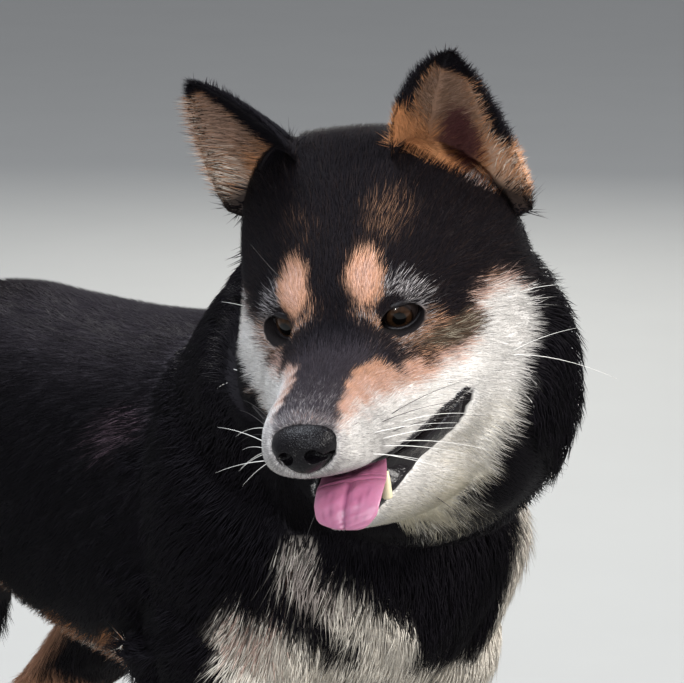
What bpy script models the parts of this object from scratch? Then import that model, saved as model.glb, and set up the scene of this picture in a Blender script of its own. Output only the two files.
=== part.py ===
# Shiba inu, a still life-size model of a standing adult with its head turned to its right.
# Metres, Z up. The dog faces -Y, so its left is +X. The soles of the paws lie in the plane z = 0.

import math
import random

import bmesh
import bpy
import numpy as np
from mathutils import Euler, Matrix, Vector
from mathutils.bvhtree import BVHTree

# Driving sizes
WITHERS_HEIGHT = 0.395
GAP = 0.0003
FRONT_TRACK = 0.056
HIND_TRACK = 0.060
EYE_SPACING = 0.0254
EYE_RADIUS = 0.0105

# The head's own frame has its origin midway between the eyes and faces -Y like the body.
HEAD_PLACE = (-0.088, -0.240, 0.430)
HEAD_TURN = math.radians(-59.0)
HEAD_NOD = math.radians(6.4)
HEAD_TILT = math.radians(-9.2)
HEAD = (
    Matrix.Translation(HEAD_PLACE)
    @ Matrix.Rotation(HEAD_TURN, 4, "Z")
    @ Matrix.Rotation(HEAD_NOD, 4, "X")
    @ Matrix.Rotation(HEAD_TILT, 4, "Y")
)

# Fineness of the fused body, and the share of its triangles that is kept
VOXEL = 0.0032
SMOOTHING = 9
BODY_TRIANGLES = 4900
HEAD_THINNING = 0.94
FOOT_THINNING = 0.96

COATS = {
    "black": ((0.012, 0.012, 0.014), 0.55),
    "cream": ((0.80, 0.76, 0.68), 0.75),
    "tan": ((0.62, 0.36, 0.19), 0.70),
    "nose": ((0.015, 0.015, 0.017), 0.35),
    "eye": ((0.035, 0.016, 0.008), 0.06),
    "tongue": ((0.70, 0.30, 0.38), 0.35),
    "tooth": ((0.85, 0.78, 0.60), 0.30),
    "claw": ((0.03, 0.027, 0.025), 0.40),
}


def clear_scene():
    for obj in list(bpy.data.objects):
        bpy.data.objects.remove(obj, do_unlink=True)


def new_collection(name):
    made = bpy.data.collections.new(name)
    bpy.context.scene.collection.children.link(made)
    return made


def coat_material(name):
    colour, roughness = COATS[name]
    material = bpy.data.materials.new(name)
    material.use_nodes = True
    shader = material.node_tree.nodes["Principled BSDF"]
    shader.inputs["Base Color"].default_value = (*colour, 1.0)
    shader.inputs["Roughness"].default_value = roughness
    shader.inputs["Metallic"].default_value = 0.0
    return material


# Mesh helpers


def mesh_object(name, points, faces):
    mesh = bpy.data.meshes.new(name)
    mesh.from_pydata([tuple(p) for p in points], [], faces)
    mesh.update()
    obj = bpy.data.objects.new(name, mesh)
    shapes.objects.link(obj)
    return obj


def remove(obj):
    bpy.data.objects.remove(obj, do_unlink=True)


def applied(obj):
    # Replaces the object's mesh by its evaluated one.
    bpy.context.view_layer.update()
    graph = bpy.context.evaluated_depsgraph_get()
    mesh = bpy.data.meshes.new_from_object(obj.evaluated_get(graph))
    obj.modifiers.clear()
    obj.data = mesh
    return obj


def copy_of(obj, name):
    made = bpy.data.objects.new(name, obj.data.copy())
    made.matrix_world = obj.matrix_world.copy()
    shapes.objects.link(made)
    return made


def grown(obj, amount, name="grown"):
    made = copy_of(obj, name)
    displace = made.modifiers.new("grow", "DISPLACE")
    displace.mid_level = 0.0
    displace.strength = amount
    return applied(made)


def boolean(obj, other, operation, keep_other=False, solver="EXACT"):
    cut = obj.modifiers.new(operation.lower(), "BOOLEAN")
    cut.operation = operation
    cut.object = other
    cut.solver = solver
    applied(obj)
    if not keep_other:
        remove(other)
    return obj


def union_all(obj, pieces):
    # One Boolean union joins all of the pieces to the object.
    bin_collection = bpy.data.collections.new("to_join")
    for piece in pieces:
        for holder in list(piece.users_collection):
            holder.objects.unlink(piece)
        bin_collection.objects.link(piece)
    join = obj.modifiers.new("join", "BOOLEAN")
    join.operation = "UNION"
    join.operand_type = "COLLECTION"
    join.collection = bin_collection
    join.solver = "MANIFOLD"
    applied(obj)
    for piece in pieces:
        remove(piece)
    bpy.data.collections.remove(bin_collection)
    return obj


def keep_largest(obj):
    # Keeps only the largest closed surface of a node.
    mesh = bmesh.new()
    mesh.from_mesh(obj.data)
    bmesh.ops.remove_doubles(mesh, verts=mesh.verts, dist=1e-6)
    bmesh.ops.triangulate(mesh, faces=mesh.faces)
    unseen = set(mesh.verts)
    islands = []
    while unseen:
        seed = unseen.pop()
        island, open_list = {seed}, [seed]
        while open_list:
            for edge in open_list.pop().link_edges:
                for vert in edge.verts:
                    if vert in unseen:
                        unseen.remove(vert)
                        island.add(vert)
                        open_list.append(vert)
        islands.append(island)

    def volume(island):
        faces = {face for vert in island for face in vert.link_faces}
        return abs(sum(f.verts[0].co.dot(f.verts[1].co.cross(f.verts[2].co)) for f in faces))

    largest = max(islands, key=volume)
    bmesh.ops.delete(mesh, geom=[v for v in mesh.verts if v not in largest], context="VERTS")
    mesh.to_mesh(obj.data)
    mesh.free()
    obj.data.update()
    return obj


def finish_node(obj, name, coat):
    keep_largest(obj)
    obj.name = name
    obj.data.name = name
    obj.data.materials.clear()
    obj.data.materials.append(materials[coat])
    for face in obj.data.polygons:
        face.material_index = 0
    obj.data.shade_smooth()
    shapes.objects.unlink(obj)
    dog.objects.link(obj)
    return obj


# Smooth forms


def spline(rows, spans):
    # Catmull-Rom through rows of numbers, with the first and last row kept.
    rows = np.array(rows, float)
    ends = np.vstack([2 * rows[0] - rows[1], rows, 2 * rows[-1] - rows[-2]])
    made = []
    for i in range(len(rows) - 1):
        a, b, c, d = ends[i : i + 4]
        for t in np.linspace(0, 1, spans, endpoint=False):
            made.append(
                0.5 * (2 * b + (c - a) * t + (2 * a - 5 * b + 4 * c - d) * t**2 + (3 * b - a - 3 * c + d) * t**3)
            )
    made.append(rows[-1])
    return np.array(made)


def loft(name, rings):
    # A closed skin over rings with the same number of points, capped at both ends.
    rings = np.array(rings, float)
    count, sides = rings.shape[:2]
    points = rings.reshape(-1, 3)
    faces = [tuple(range(sides))[::-1], tuple((count - 1) * sides + k for k in range(sides))]
    for i in range(count - 1):
        for k in range(sides):
            n = (k + 1) % sides
            faces.append((i * sides + k, i * sides + n, (i + 1) * sides + n, (i + 1) * sides + k))
    obj = mesh_object(name, points, faces)
    mesh = bmesh.new()
    mesh.from_mesh(obj.data)
    bmesh.ops.recalc_face_normals(mesh, faces=mesh.faces)
    mesh.to_mesh(obj.data)
    mesh.free()
    return obj


def squared(angle, power):
    # A point of the unit superellipse: 2 is round, more is squarer.
    c, s = math.cos(angle), math.sin(angle)
    return (
        math.copysign(abs(c) ** (2 / power), c),
        math.copysign(abs(s) ** (2 / power), s),
    )


def barrel(name, stations, sides, spans, place=None):
    # Rings across Y. A station is (y, top, bottom, half width, height of the widest point, squareness).
    rings = []
    for y, top, bottom, half, middle, power in spline(stations, spans):
        ring = []
        for k in range(sides):
            c, s = squared(2 * math.pi * k / sides, power)
            ring.append((half * c, y, middle + s * ((top - middle) if s > 0 else (middle - bottom))))
        rings.append(ring)
    obj = loft(name, rings)
    if place:
        obj.data.transform(place)
    return obj


def tube_rings(centres, radii, sides, flat=1.0):
    # Round rings across a line, with the unit tangents of the line.
    tangents = np.gradient(centres, axis=0)
    tangents /= np.linalg.norm(tangents, axis=1)[:, None]
    side = np.array((1.0, 0.0, 0.0))
    angles = 2 * np.pi * np.arange(sides) / sides
    rings = []
    for centre, radius, along in zip(centres, radii, tangents):
        across = side - along * side.dot(along)
        across /= np.linalg.norm(across)
        third = np.cross(along, across)
        spread = flat * np.outer(np.cos(angles), across) + np.outer(np.sin(angles), third)
        rings.append(centre + radius * spread)
    return np.array(rings), tangents


def limb(name, rows, sides=16, spans=5, flat=1.0):
    # A tube through rows of (x, y, z, radius). flat scales it across X.
    rows = spline(rows, spans)
    return loft(name, tube_rings(rows[:, :3], rows[:, 3], sides, flat)[0])


def ball(name, centre, radii, lean=(0, 0, 0), detail=(24, 16), place=None):
    bpy.ops.mesh.primitive_uv_sphere_add(segments=detail[0], ring_count=detail[1], radius=1.0)
    obj = bpy.context.active_object
    obj.name = name
    matrix = Matrix.LocRotScale(Vector(centre), Euler([math.radians(a) for a in lean]), Vector(radii))
    obj.data.transform(place @ matrix if place else matrix)
    for holder in list(obj.users_collection):
        holder.objects.unlink(obj)
    shapes.objects.link(obj)
    return obj


def box(name, low, high, place=None):
    bpy.ops.mesh.primitive_cube_add(size=1.0)
    obj = bpy.context.active_object
    obj.name = name
    low, high = Vector(low), Vector(high)
    matrix = Matrix.LocRotScale((low + high) / 2, None, high - low)
    obj.data.transform(place @ matrix if place else matrix)
    for holder in list(obj.users_collection):
        holder.objects.unlink(obj)
    shapes.objects.link(obj)
    return obj


def prism(name, outline, half, place=None):
    # A plate whose outline is given in Y and Z, as thick as twice the half across X.
    rings = [[(x, y, z) for y, z in outline] for x in (-half, half)]
    obj = loft(name, rings)
    if place:
        obj.data.transform(place)
    return obj


def widened(outline, amount):
    # The same outline, drawn anticlockwise, with every edge moved outwards by the amount.
    points = [Vector(p) for p in outline]
    made = []
    for before, here, after in zip(points[-1:] + points[:-1], points, points[1:] + points[:1]):
        first, second = (here - before).normalized(), (after - here).normalized()
        normals = Vector((first.y, -first.x)), Vector((second.y, -second.x))
        corner = (normals[0] + normals[1]).normalized()
        made.append(tuple(here + corner * (amount / max(corner.dot(normals[0]), 0.3))))
    return made


def carve_outline(body, name, outline, half, place):
    # Parts the body by an outline seen from the side, and the body keeps a gap to the piece.
    piece = copy_of(body, name)
    boolean(piece, prism("inside", outline, half, place), "INTERSECT", solver="MANIFOLD")
    outside = prism("outside", widened(outline, GAP), half + GAP, place)
    boolean(body, outside, "DIFFERENCE", solver="MANIFOLD")
    return keep_largest(piece)


def carve(body, name, low, high, place=None):
    # Parts the body: what lies in the box becomes a piece, and the body keeps a gap to it.
    piece = copy_of(body, name)
    boolean(piece, box("inside", low, high, place), "INTERSECT", solver="MANIFOLD")
    edge = Vector((GAP, GAP, GAP))
    outside = box("outside", Vector(low) - edge, Vector(high) + edge, place)
    boolean(body, outside, "DIFFERENCE", solver="MANIFOLD")
    return keep_largest(piece)


def mirrored(row, side):
    return (row[0] * side, *row[1:])


# The fused body


def torso():
    stations = (
        (-0.200, 0.318, 0.250, 0.032, 0.286, 2.1),
        (-0.182, 0.350, 0.222, 0.062, 0.286, 2.1),
        (-0.145, 0.380, 0.200, 0.081, 0.285, 2.1),
        (-0.090, WITHERS_HEIGHT, 0.190, 0.088, 0.283, 2.1),
        (-0.030, 0.389, 0.191, 0.091, 0.282, 2.15),
        (0.040, 0.382, 0.199, 0.090, 0.284, 2.2),
        (0.100, 0.380, 0.218, 0.082, 0.292, 2.2),
        (0.150, 0.379, 0.234, 0.077, 0.300, 2.2),
        (0.195, 0.369, 0.246, 0.069, 0.303, 2.2),
        (0.225, 0.345, 0.262, 0.048, 0.303, 2.1),
        (0.238, 0.320, 0.285, 0.020, 0.302, 2.0),
    )
    return barrel("torso", stations, sides=28, spans=4)


def neck():
    rows = (
        (0.000, -0.085, 0.312, 0.083),
        (0.000, -0.120, 0.338, 0.084),
        (-0.006, -0.150, 0.366, 0.085),
        (-0.018, -0.176, 0.392, 0.084),
        (-0.030, -0.192, 0.412, 0.080),
    )
    return limb("neck", rows, sides=28, spans=4)


def ruff():
    # The thick fur behind the cheeks, wider than the skull.
    return ball("ruff", (0.0, 0.070, -0.046), (0.088, 0.048, 0.092), detail=(32, 20), place=HEAD)


def front_leg(side):
    track = FRONT_TRACK
    leg = (
        (track + 0.006, -0.088, 0.240, 0.040),
        (track + 0.003, -0.092, 0.200, 0.031),
        (track, -0.100, 0.150, 0.0235),
        (track - 0.001, -0.106, 0.100, 0.0195),
        (track - 0.001, -0.108, 0.075, 0.0195),
        (track, -0.113, 0.045, 0.0180),
        (track, -0.124, 0.020, 0.0185),
    )
    pieces = [limb("front_leg", [mirrored(row, side) for row in leg])]
    pieces.append(ball("shoulder", (side * 0.058, -0.122, 0.290), (0.038, 0.058, 0.088), lean=(-18, 0, 0)))
    pieces.append(ball("upper_arm", (side * 0.064, -0.122, 0.240), (0.034, 0.056, 0.044), lean=(38, 0, 0)))
    return pieces + paw(side * track, -0.134, 0.0225, 0.0175)


def hind_leg(side):
    track = HIND_TRACK
    leg = (
        (track - 0.006, 0.138, 0.262, 0.046),
        (track + 0.000, 0.128, 0.222, 0.042),
        (track + 0.005, 0.142, 0.180, 0.033),
        (track + 0.003, 0.178, 0.142, 0.0235),
        (track + 0.001, 0.207, 0.112, 0.0195),
        (track, 0.208, 0.080, 0.0165),
        (track, 0.202, 0.045, 0.0162),
        (track, 0.194, 0.020, 0.0175),
    )
    pieces = [limb("hind_leg", [mirrored(row, side) for row in leg])]
    pieces.append(ball("thigh", (side * 0.046, 0.166, 0.276), (0.040, 0.066, 0.092), lean=(-12, 0, 0)))
    pieces.append(ball("heel", (side * track, 0.221, 0.113), (0.0115, 0.012, 0.017)))
    return pieces + paw(side * track, 0.182, 0.0210, 0.0168)


TOE_SPREAD = (-0.0165, -0.0058, 0.0058, 0.0165)
TOE_REACH = (-0.012, -0.021, -0.021, -0.012)


def paw(x, y, half_width, height):
    pieces = [ball("paw", (x, y, height), (half_width, 0.028, height + 0.003))]
    for across, forward in zip(TOE_SPREAD, TOE_REACH):
        toe_radii = (0.0078, 0.0165, height * 0.86)
        pieces.append(ball("toe", (x + across, y + forward, height * 0.80), toe_radii, detail=(16, 12)))
    return pieces


def skull():
    stations = (
        (-0.0805, -0.0290, -0.0440, 0.0100, -0.0370, 2.2),
        (-0.0770, -0.0225, -0.0515, 0.0175, -0.0390, 2.3),
        (-0.0690, -0.0180, -0.0545, 0.0225, -0.0405, 2.4),
        (-0.0550, -0.0155, -0.0575, 0.0262, -0.0430, 2.4),
        (-0.0400, -0.0130, -0.0600, 0.0295, -0.0440, 2.3),
        (-0.0260, -0.0085, -0.0640, 0.0340, -0.0440, 2.2),
        (-0.0150, 0.0010, -0.0700, 0.0395, -0.0430, 2.2),
        (-0.0050, 0.0165, -0.0760, 0.0460, -0.0400, 2.2),
        (0.0060, 0.0330, -0.0820, 0.0540, -0.0370, 2.3),
        (0.0200, 0.0530, -0.0880, 0.0640, -0.0320, 2.25),
        (0.0380, 0.0730, -0.0920, 0.0715, -0.0280, 2.2),
        (0.0580, 0.0775, -0.0900, 0.0755, -0.0230, 2.3),
        (0.0800, 0.0700, -0.0800, 0.0720, -0.0160, 2.5),
        (0.1020, 0.0500, -0.0600, 0.0580, -0.0080, 2.2),
        (0.1160, 0.0240, -0.0280, 0.0300, -0.0040, 2.0),
    )
    return barrel("skull", stations, sides=40, spans=4, place=HEAD)


def lower_jaw():
    stations = (
        (-0.0570, -0.0830, -0.0900, 0.0070, -0.0865, 2.1),
        (-0.0520, -0.0780, -0.0950, 0.0130, -0.0870, 2.2),
        (-0.0380, -0.0730, -0.1000, 0.0205, -0.0860, 2.3),
        (-0.0220, -0.0660, -0.1030, 0.0270, -0.0820, 2.3),
        (-0.0060, -0.0570, -0.1040, 0.0360, -0.0760, 2.3),
        (0.0080, -0.0450, -0.1030, 0.0440, -0.0700, 2.3),
        (0.0250, -0.0400, -0.1010, 0.0520, -0.0680, 2.2),
        (0.0500, -0.0400, -0.0950, 0.0540, -0.0650, 2.2),
    )
    return barrel("lower_jaw", stations, sides=28, spans=4, place=HEAD)


# Long coat


def lock(path, widths, normals, thickness):
    # A flat, tapered lock along a path of four points. It is widest across the path and ends in a point.
    rings = []
    for i in range(3):
        ahead = (path[i + 1] - path[max(i - 1, 0)]).normalized()
        across = ahead.cross(normals[i]).normalized() * widths[i]
        rise = normals[i] * thickness * widths[i]
        rings.append([path[i] + across, path[i] + rise, path[i] - across, path[i] - rise * 0.6])
    points = [p for ring in rings for p in ring] + [path[3]]
    faces = [(3, 2, 1, 0)]
    for i in (0, 4):
        faces += [(i + k, i + (k + 1) % 4, i + 4 + (k + 1) % 4, i + 4 + k) for k in range(4)]
    faces += [(8 + k, 8 + (k + 1) % 4, 12) for k in range(4)]
    obj = mesh_object("lock", points, faces)
    mesh = bmesh.new()
    mesh.from_mesh(obj.data)
    bmesh.ops.recalc_face_normals(mesh, faces=mesh.faces)
    mesh.to_mesh(obj.data)
    mesh.free()
    return obj


def surface_of(obj):
    return BVHTree.FromObject(obj, bpy.context.evaluated_depsgraph_get())


def hanging_lock(surface, start, ahead, lie, length, width, draw):
    # A lock rooted where the ray meets the surface, which leaves it along the lie and lifts a little.
    root, normal, _, _ = surface.ray_cast(start, ahead)
    if root is None:
        return None
    flow = (lie - normal * lie.dot(normal)).normalized()
    length *= draw.uniform(0.85, 1.15)
    sway = normal.cross(flow) * draw.uniform(-0.16, 0.16)
    flow = (flow + sway).normalized()
    path = [
        root - normal * 0.0050 - flow * 0.10 * length,
        root + normal * 0.0018 + flow * 0.32 * length,
        root + normal * 0.0042 + flow * 0.68 * length,
        root + normal * 0.0062 + flow * length,
    ]
    return lock(path, [width * 0.9, width, width * 0.66], [normal] * 3, 0.34)


BREECHES_ROWS = 5
BREECHES_COLUMNS = 3


def breeches(surface, side, draw):
    # Longer coat on the back of the thigh, from the seat to above the hock.
    made = []
    for row in range(BREECHES_ROWS):
        height = 0.262 - 0.025 * row
        for column in range(BREECHES_COLUMNS - (row > 2)):
            x = side * (0.026 + 0.0165 * (column + 0.5 * (row % 2)) + 0.004 * (row > 2))
            start = Vector((x, 0.34, height + draw.uniform(-0.003, 0.003)))
            lie = Vector((0, 0.10, -1))
            made.append(hanging_lock(surface, start, Vector((0, -1, 0)), lie, 0.044, 0.0115, draw))
    return made


def add_long_coat(body):
    draw = random.Random(11)
    surface = surface_of(body)
    made = []
    for side in (1, -1):
        made += breeches(surface, side, draw)
    return union_all(body, [piece for piece in made if piece])


def sculpt_face(obj):
    # Soft pushes in the head's own frame: eye hollows, brows, cheeks, the furrow of the stop.
    pushes = []
    for side in (1, -1):
        pushes += [
            ((side * 0.0290, -0.0050, 0.0000), 0.0110, (side * -0.0015, 0.0042, 0.0)),
            ((side * 0.0240, -0.0060, 0.0150), 0.0100, (side * 0.0004, -0.0018, 0.0018)),
            ((side * 0.0350, -0.0200, -0.0230), 0.0150, (side * -0.0020, 0.0015, 0.0)),
            ((side * 0.0560, 0.0180, -0.0280), 0.0230, (side * 0.0035, -0.0030, 0.0)),
            ((side * 0.0215, -0.0600, -0.0480), 0.0130, (side * 0.0022, 0.0, -0.0008)),
        ]
    pushes.append(((0.0, -0.0100, 0.0080), 0.0090, (0.0, 0.0012, -0.0018)))
    pushes.append(((0.0, 0.0150, 0.0480), 0.0120, (0.0, 0.0008, -0.0014)))
    count = len(obj.data.vertices)
    points = np.empty(count * 3, np.float32)
    obj.data.vertices.foreach_get("co", points)
    points = points.reshape(-1, 3).astype(float)
    to_head = np.array(HEAD.inverted())
    from_head = np.array(HEAD)
    local = points @ to_head[:3, :3].T + to_head[:3, 3]
    moved = local.copy()
    for centre, reach, push in pushes:
        distance = np.linalg.norm(local - np.array(centre), axis=1)
        moved += np.outer(np.exp(-((distance / reach) ** 2)), push)
    points = moved @ from_head[:3, :3].T + from_head[:3, 3]
    obj.data.vertices.foreach_set("co", points.astype(np.float32).ravel())
    obj.data.update()
    return obj


def fuse(pieces):
    first = pieces[0]
    with bpy.context.temp_override(
        active_object=first, object=first, selected_objects=pieces, selected_editable_objects=pieces
    ):
        bpy.ops.object.join()
    remesh = first.modifiers.new("remesh", "REMESH")
    remesh.mode = "VOXEL"
    remesh.voxel_size = VOXEL
    smooth = first.modifiers.new("smooth", "SMOOTH")
    smooth.factor = 0.5
    smooth.iterations = SMOOTHING
    return applied(first)


def thin_out(obj, triangles):
    # Fewer triangles everywhere, but the head keeps more of its own.
    group = obj.vertex_groups.new(name="plain")
    to_head = HEAD.inverted()
    for vert in obj.data.vertices:
        local = to_head @ vert.co
        in_head = abs(local.x) < 0.10 and -0.10 < local.y < 0.06 and abs(local.z) < 0.11
        at_foot = vert.co.z < 0.05
        group.add([vert.index], HEAD_THINNING if in_head else FOOT_THINNING if at_foot else 1.0, "REPLACE")
    count = sum(len(face.vertices) - 2 for face in obj.data.polygons)
    decimate = obj.modifiers.new("thin", "DECIMATE")
    decimate.ratio = triangles / count
    decimate.vertex_group = "plain"
    decimate.vertex_group_factor = 1.0
    decimate.use_collapse_triangulate = True
    applied(obj)
    obj.vertex_groups.clear()
    return obj


def whole_body():
    pieces = [torso(), neck(), ruff(), skull(), lower_jaw()]
    for side in (1, -1):
        pieces += front_leg(side) + hind_leg(side)
    pieces.append(ball("rump", (0, 0.200, 0.335), (0.052, 0.042, 0.036)))
    body = fuse(pieces)
    sculpt_face(body)
    thin_out(body, BODY_TRIANGLES)
    add_long_coat(body)
    boolean(body, box("floor", (-1, -1, -1), (1, 1, 0)), "DIFFERENCE")
    return body


# Head details

EYE_DEPTH = 0.0080
EYE_AIM = math.radians(24)
LID_RADIUS = EYE_RADIUS + 0.0016


def eye_place(side):
    # Looks out of the eye along -Y, with the outer corner a little higher.
    centre = Matrix.Translation((side * EYE_SPACING, EYE_DEPTH, 0.0))
    return (
        HEAD
        @ centre
        @ Matrix.Rotation(side * EYE_AIM, 4, "Z")
        @ Matrix.Rotation(math.radians(8), 4, "X")
        @ Matrix.Rotation(side * math.radians(-14), 4, "Y")
    )


def almond(place, half_width, height_up, height_down, front, back, sides=18):
    # A prism along Y whose outline is the slit between the lids.
    rings = []
    for y in (front, back):
        ring = []
        for k in range(sides):
            angle = 2 * math.pi * k / sides
            c, s = math.cos(angle), math.sin(angle)
            rise = height_up if s > 0 else height_down
            ring.append((half_width * c, y, rise * s * abs(s) ** 0.15))
        rings.append(ring)
    obj = loft("slit", rings)
    obj.data.transform(place)
    return obj


def add_eyes(head):
    eyes = {}
    for side, word in ((1, "left"), (-1, "right")):
        place = eye_place(side)
        lid = ball("lid", (0, 0, 0), (LID_RADIUS, LID_RADIUS, LID_RADIUS * 0.94), detail=(14, 10), place=place)
        boolean(head, lid, "UNION")
    for side, word in ((1, "left"), (-1, "right")):
        place = eye_place(side)
        boolean(head, almond(place, 0.0098, 0.0058, 0.0060, -0.03, 0.0), "DIFFERENCE")
        reach = EYE_RADIUS + GAP
        socket = ball("socket", (0, 0, 0), (reach, reach, reach), detail=(14, 10), place=place)
        boolean(head, socket, "DIFFERENCE")
        radii = (EYE_RADIUS, EYE_RADIUS, EYE_RADIUS)
        eyes[word] = ball("eye", (0, 0, 0), radii, detail=(14, 10), place=place)
    return eyes


NOSE_PLACE = (0.0, -0.0745, -0.0372)


def nose_pad():
    # A rounded wedge, wider above, with two comma nostrils and a groove between them.
    place = HEAD @ Matrix.Translation(NOSE_PLACE)
    stations = (
        (-0.0105, 0.0050, -0.0055, 0.0060, 0.0010, 2.2),
        (-0.0088, 0.0085, -0.0090, 0.0110, 0.0018, 2.4),
        (-0.0050, 0.0108, -0.0112, 0.0143, 0.0022, 2.5),
        (0.0010, 0.0118, -0.0118, 0.0150, 0.0020, 2.5),
        (0.0080, 0.0112, -0.0110, 0.0140, 0.0016, 2.5),
        (0.0120, 0.0070, -0.0080, 0.0110, 0.0010, 2.3),
    )
    pad = barrel("nose_pad", stations, sides=16, spans=1, place=place)
    for side in (1, -1):
        hole = ((side * 0.0072, -0.0092, -0.0012), (0.0034, 0.0070, 0.0030))
        wing = ((side * 0.0120, -0.0060, -0.0034), (0.0040, 0.0050, 0.0013))
        for centre, radii in (hole, wing):
            cutter = ball("nostril", centre, radii, lean=(0, side * 18, 0), detail=(8, 5), place=place)
            boolean(pad, cutter, "DIFFERENCE")
    groove = box("groove", (-0.0006, -0.020, -0.020), (0.0006, -0.0088, 0.0020), place=place)
    boolean(pad, groove, "DIFFERENCE")
    return pad


EAR_INNER = (0.0295, 0.0330, 0.0715)
EAR_OUTER = (0.0760, 0.0700, 0.0260)
EAR_TIP = (0.0660, 0.0320, 0.1125)
EAR_OPENING = (0.62, -0.78, 0.0)
EAR_CUP = 0.0240
EAR_THICKNESS = 0.0046


def ear(side):
    # A pricked, broad triangular cup that opens forward and outward. Rings run from root to tip.
    inner, outer, tip = Vector(EAR_INNER), Vector(EAR_OUTER), Vector(EAR_TIP)
    opening = Vector(EAR_OPENING).normalized()
    base = (inner + outer) / 2
    across = (outer - inner).normalized()
    broad = (outer - inner).length / 2 + 0.002
    rings = []
    for share in (-1.0, 0.0, 0.12, 0.26, 0.40, 0.54, 0.68, 0.80, 0.90, 0.96, 0.995):
        height = max(share, 0.0)
        reach = across * (broad * (1 - height**1.65) ** 0.78)
        middle = base.lerp(tip, height)
        if share < 0:
            # The root is sunk in the skull and drawn in.
            middle, reach = base + Vector((-0.014, 0.002, -0.014)), reach * 0.72
        depth = EAR_CUP * (1 - height) ** 0.8 + 0.0004
        thick = EAR_THICKNESS * (1 - 0.45 * height)
        ring = []
        steps = np.linspace(-1, 1, 11)
        for u in steps:
            sunk = depth * (1 - abs(u) ** 2.0)
            ring.append(middle + reach * u - opening * (sunk + thick * (1 - abs(u) ** 4)))
        for u in steps[::-1][1:-1]:
            sunk = depth * (1 - abs(u) ** 2.0)
            ring.append(middle + reach * (u * 0.98) - opening * sunk)
        rings.append([(p.x * side, p.y, p.z) for p in ring])
    obj = loft("ear", rings)
    obj.data.transform(HEAD)
    return obj


TONGUE_SIDES = 14


def tongue():
    # It lies in the jaw, leaves the mouth by the left canine and hangs over the lip.
    rows = (
        (0.0000, -0.0060, -0.0540, 0.0120),
        (0.0020, -0.0220, -0.0625, 0.0145),
        (0.0070, -0.0420, -0.0650, 0.0155),
        (0.0112, -0.0580, -0.0652, 0.0160),
        (0.0120, -0.0670, -0.0690, 0.0158),
        (0.0116, -0.0715, -0.0755, 0.0128),
        (0.0112, -0.0728, -0.0795, 0.0070),
    )
    rows = spline(rows, 2)
    centres = rows[:, :3]
    tangents = np.gradient(centres, axis=0)
    rings = []
    for (x, y, z, half), tangent in zip(rows, tangents):
        along = Vector(tangent).normalized()
        across = Vector((1, 0, 0))
        across = (across - along * across.dot(along)).normalized()
        up = across.cross(along)
        if up.z < 0 and up.y > 0:
            up = -up
        ring = []
        for k in range(TONGUE_SIDES):
            angle = 2 * math.pi * k / TONGUE_SIDES
            c, s = math.cos(angle), math.sin(angle)
            crease = 0.0010 * math.exp(-((c / 0.22) ** 2)) if s > 0 else 0.0
            thick = 0.0022 if s > 0 else 0.0026
            ring.append(Vector((x, y, z)) + across * (half * c) + up * (thick * s - crease))
        rings.append(ring)
    obj = loft("tongue", rings)
    obj.data.transform(HEAD)
    return obj


def canine(side):
    base = (side * 0.0185, -0.0385, -0.0780)
    rows = (
        (*base, 0.0030),
        (base[0] + side * 0.0006, base[1] - 0.0006, base[2] + 0.0050, 0.0027),
        (base[0] + side * 0.0008, base[1] + 0.0006, base[2] + 0.0100, 0.0018),
        (base[0] + side * 0.0006, base[1] + 0.0022, base[2] + 0.0135, 0.0005),
    )
    obj = limb("canine", rows, sides=8, spans=1)
    obj.data.transform(HEAD)
    return obj


def claw(x, y, z, number):
    # A blunt curved nail that leaves the toe's front and points down, clear of the floor.
    rows = (
        (x, y + 0.0040, z, 0.0026),
        (x, y, z, 0.0026),
        (x, y - 0.0045, z - 0.0014, 0.0021),
        (x, y - 0.0078, z - 0.0046, 0.0008),
    )
    return limb(f"claw_{number}", rows, sides=6, spans=1)


# The tail

TAIL_LINE = (
    (0.000, 0.192, 0.344, 0.024),
    (0.000, 0.230, 0.364, 0.025),
    (-0.001, 0.257, 0.398, 0.028),
    (-0.004, 0.259, 0.438, 0.031),
    (-0.010, 0.232, 0.468, 0.032),
    (-0.019, 0.196, 0.470, 0.030),
    (-0.028, 0.171, 0.449, 0.026),
    (-0.036, 0.166, 0.421, 0.019),
    (-0.042, 0.176, 0.403, 0.009),
)


TAIL_CORE = 0.52
TAIL_SIDES = 10
BRUSH_ROWS = 8
BRUSH_AROUND = 6
BRUSH_LENGTH = 0.15


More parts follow.
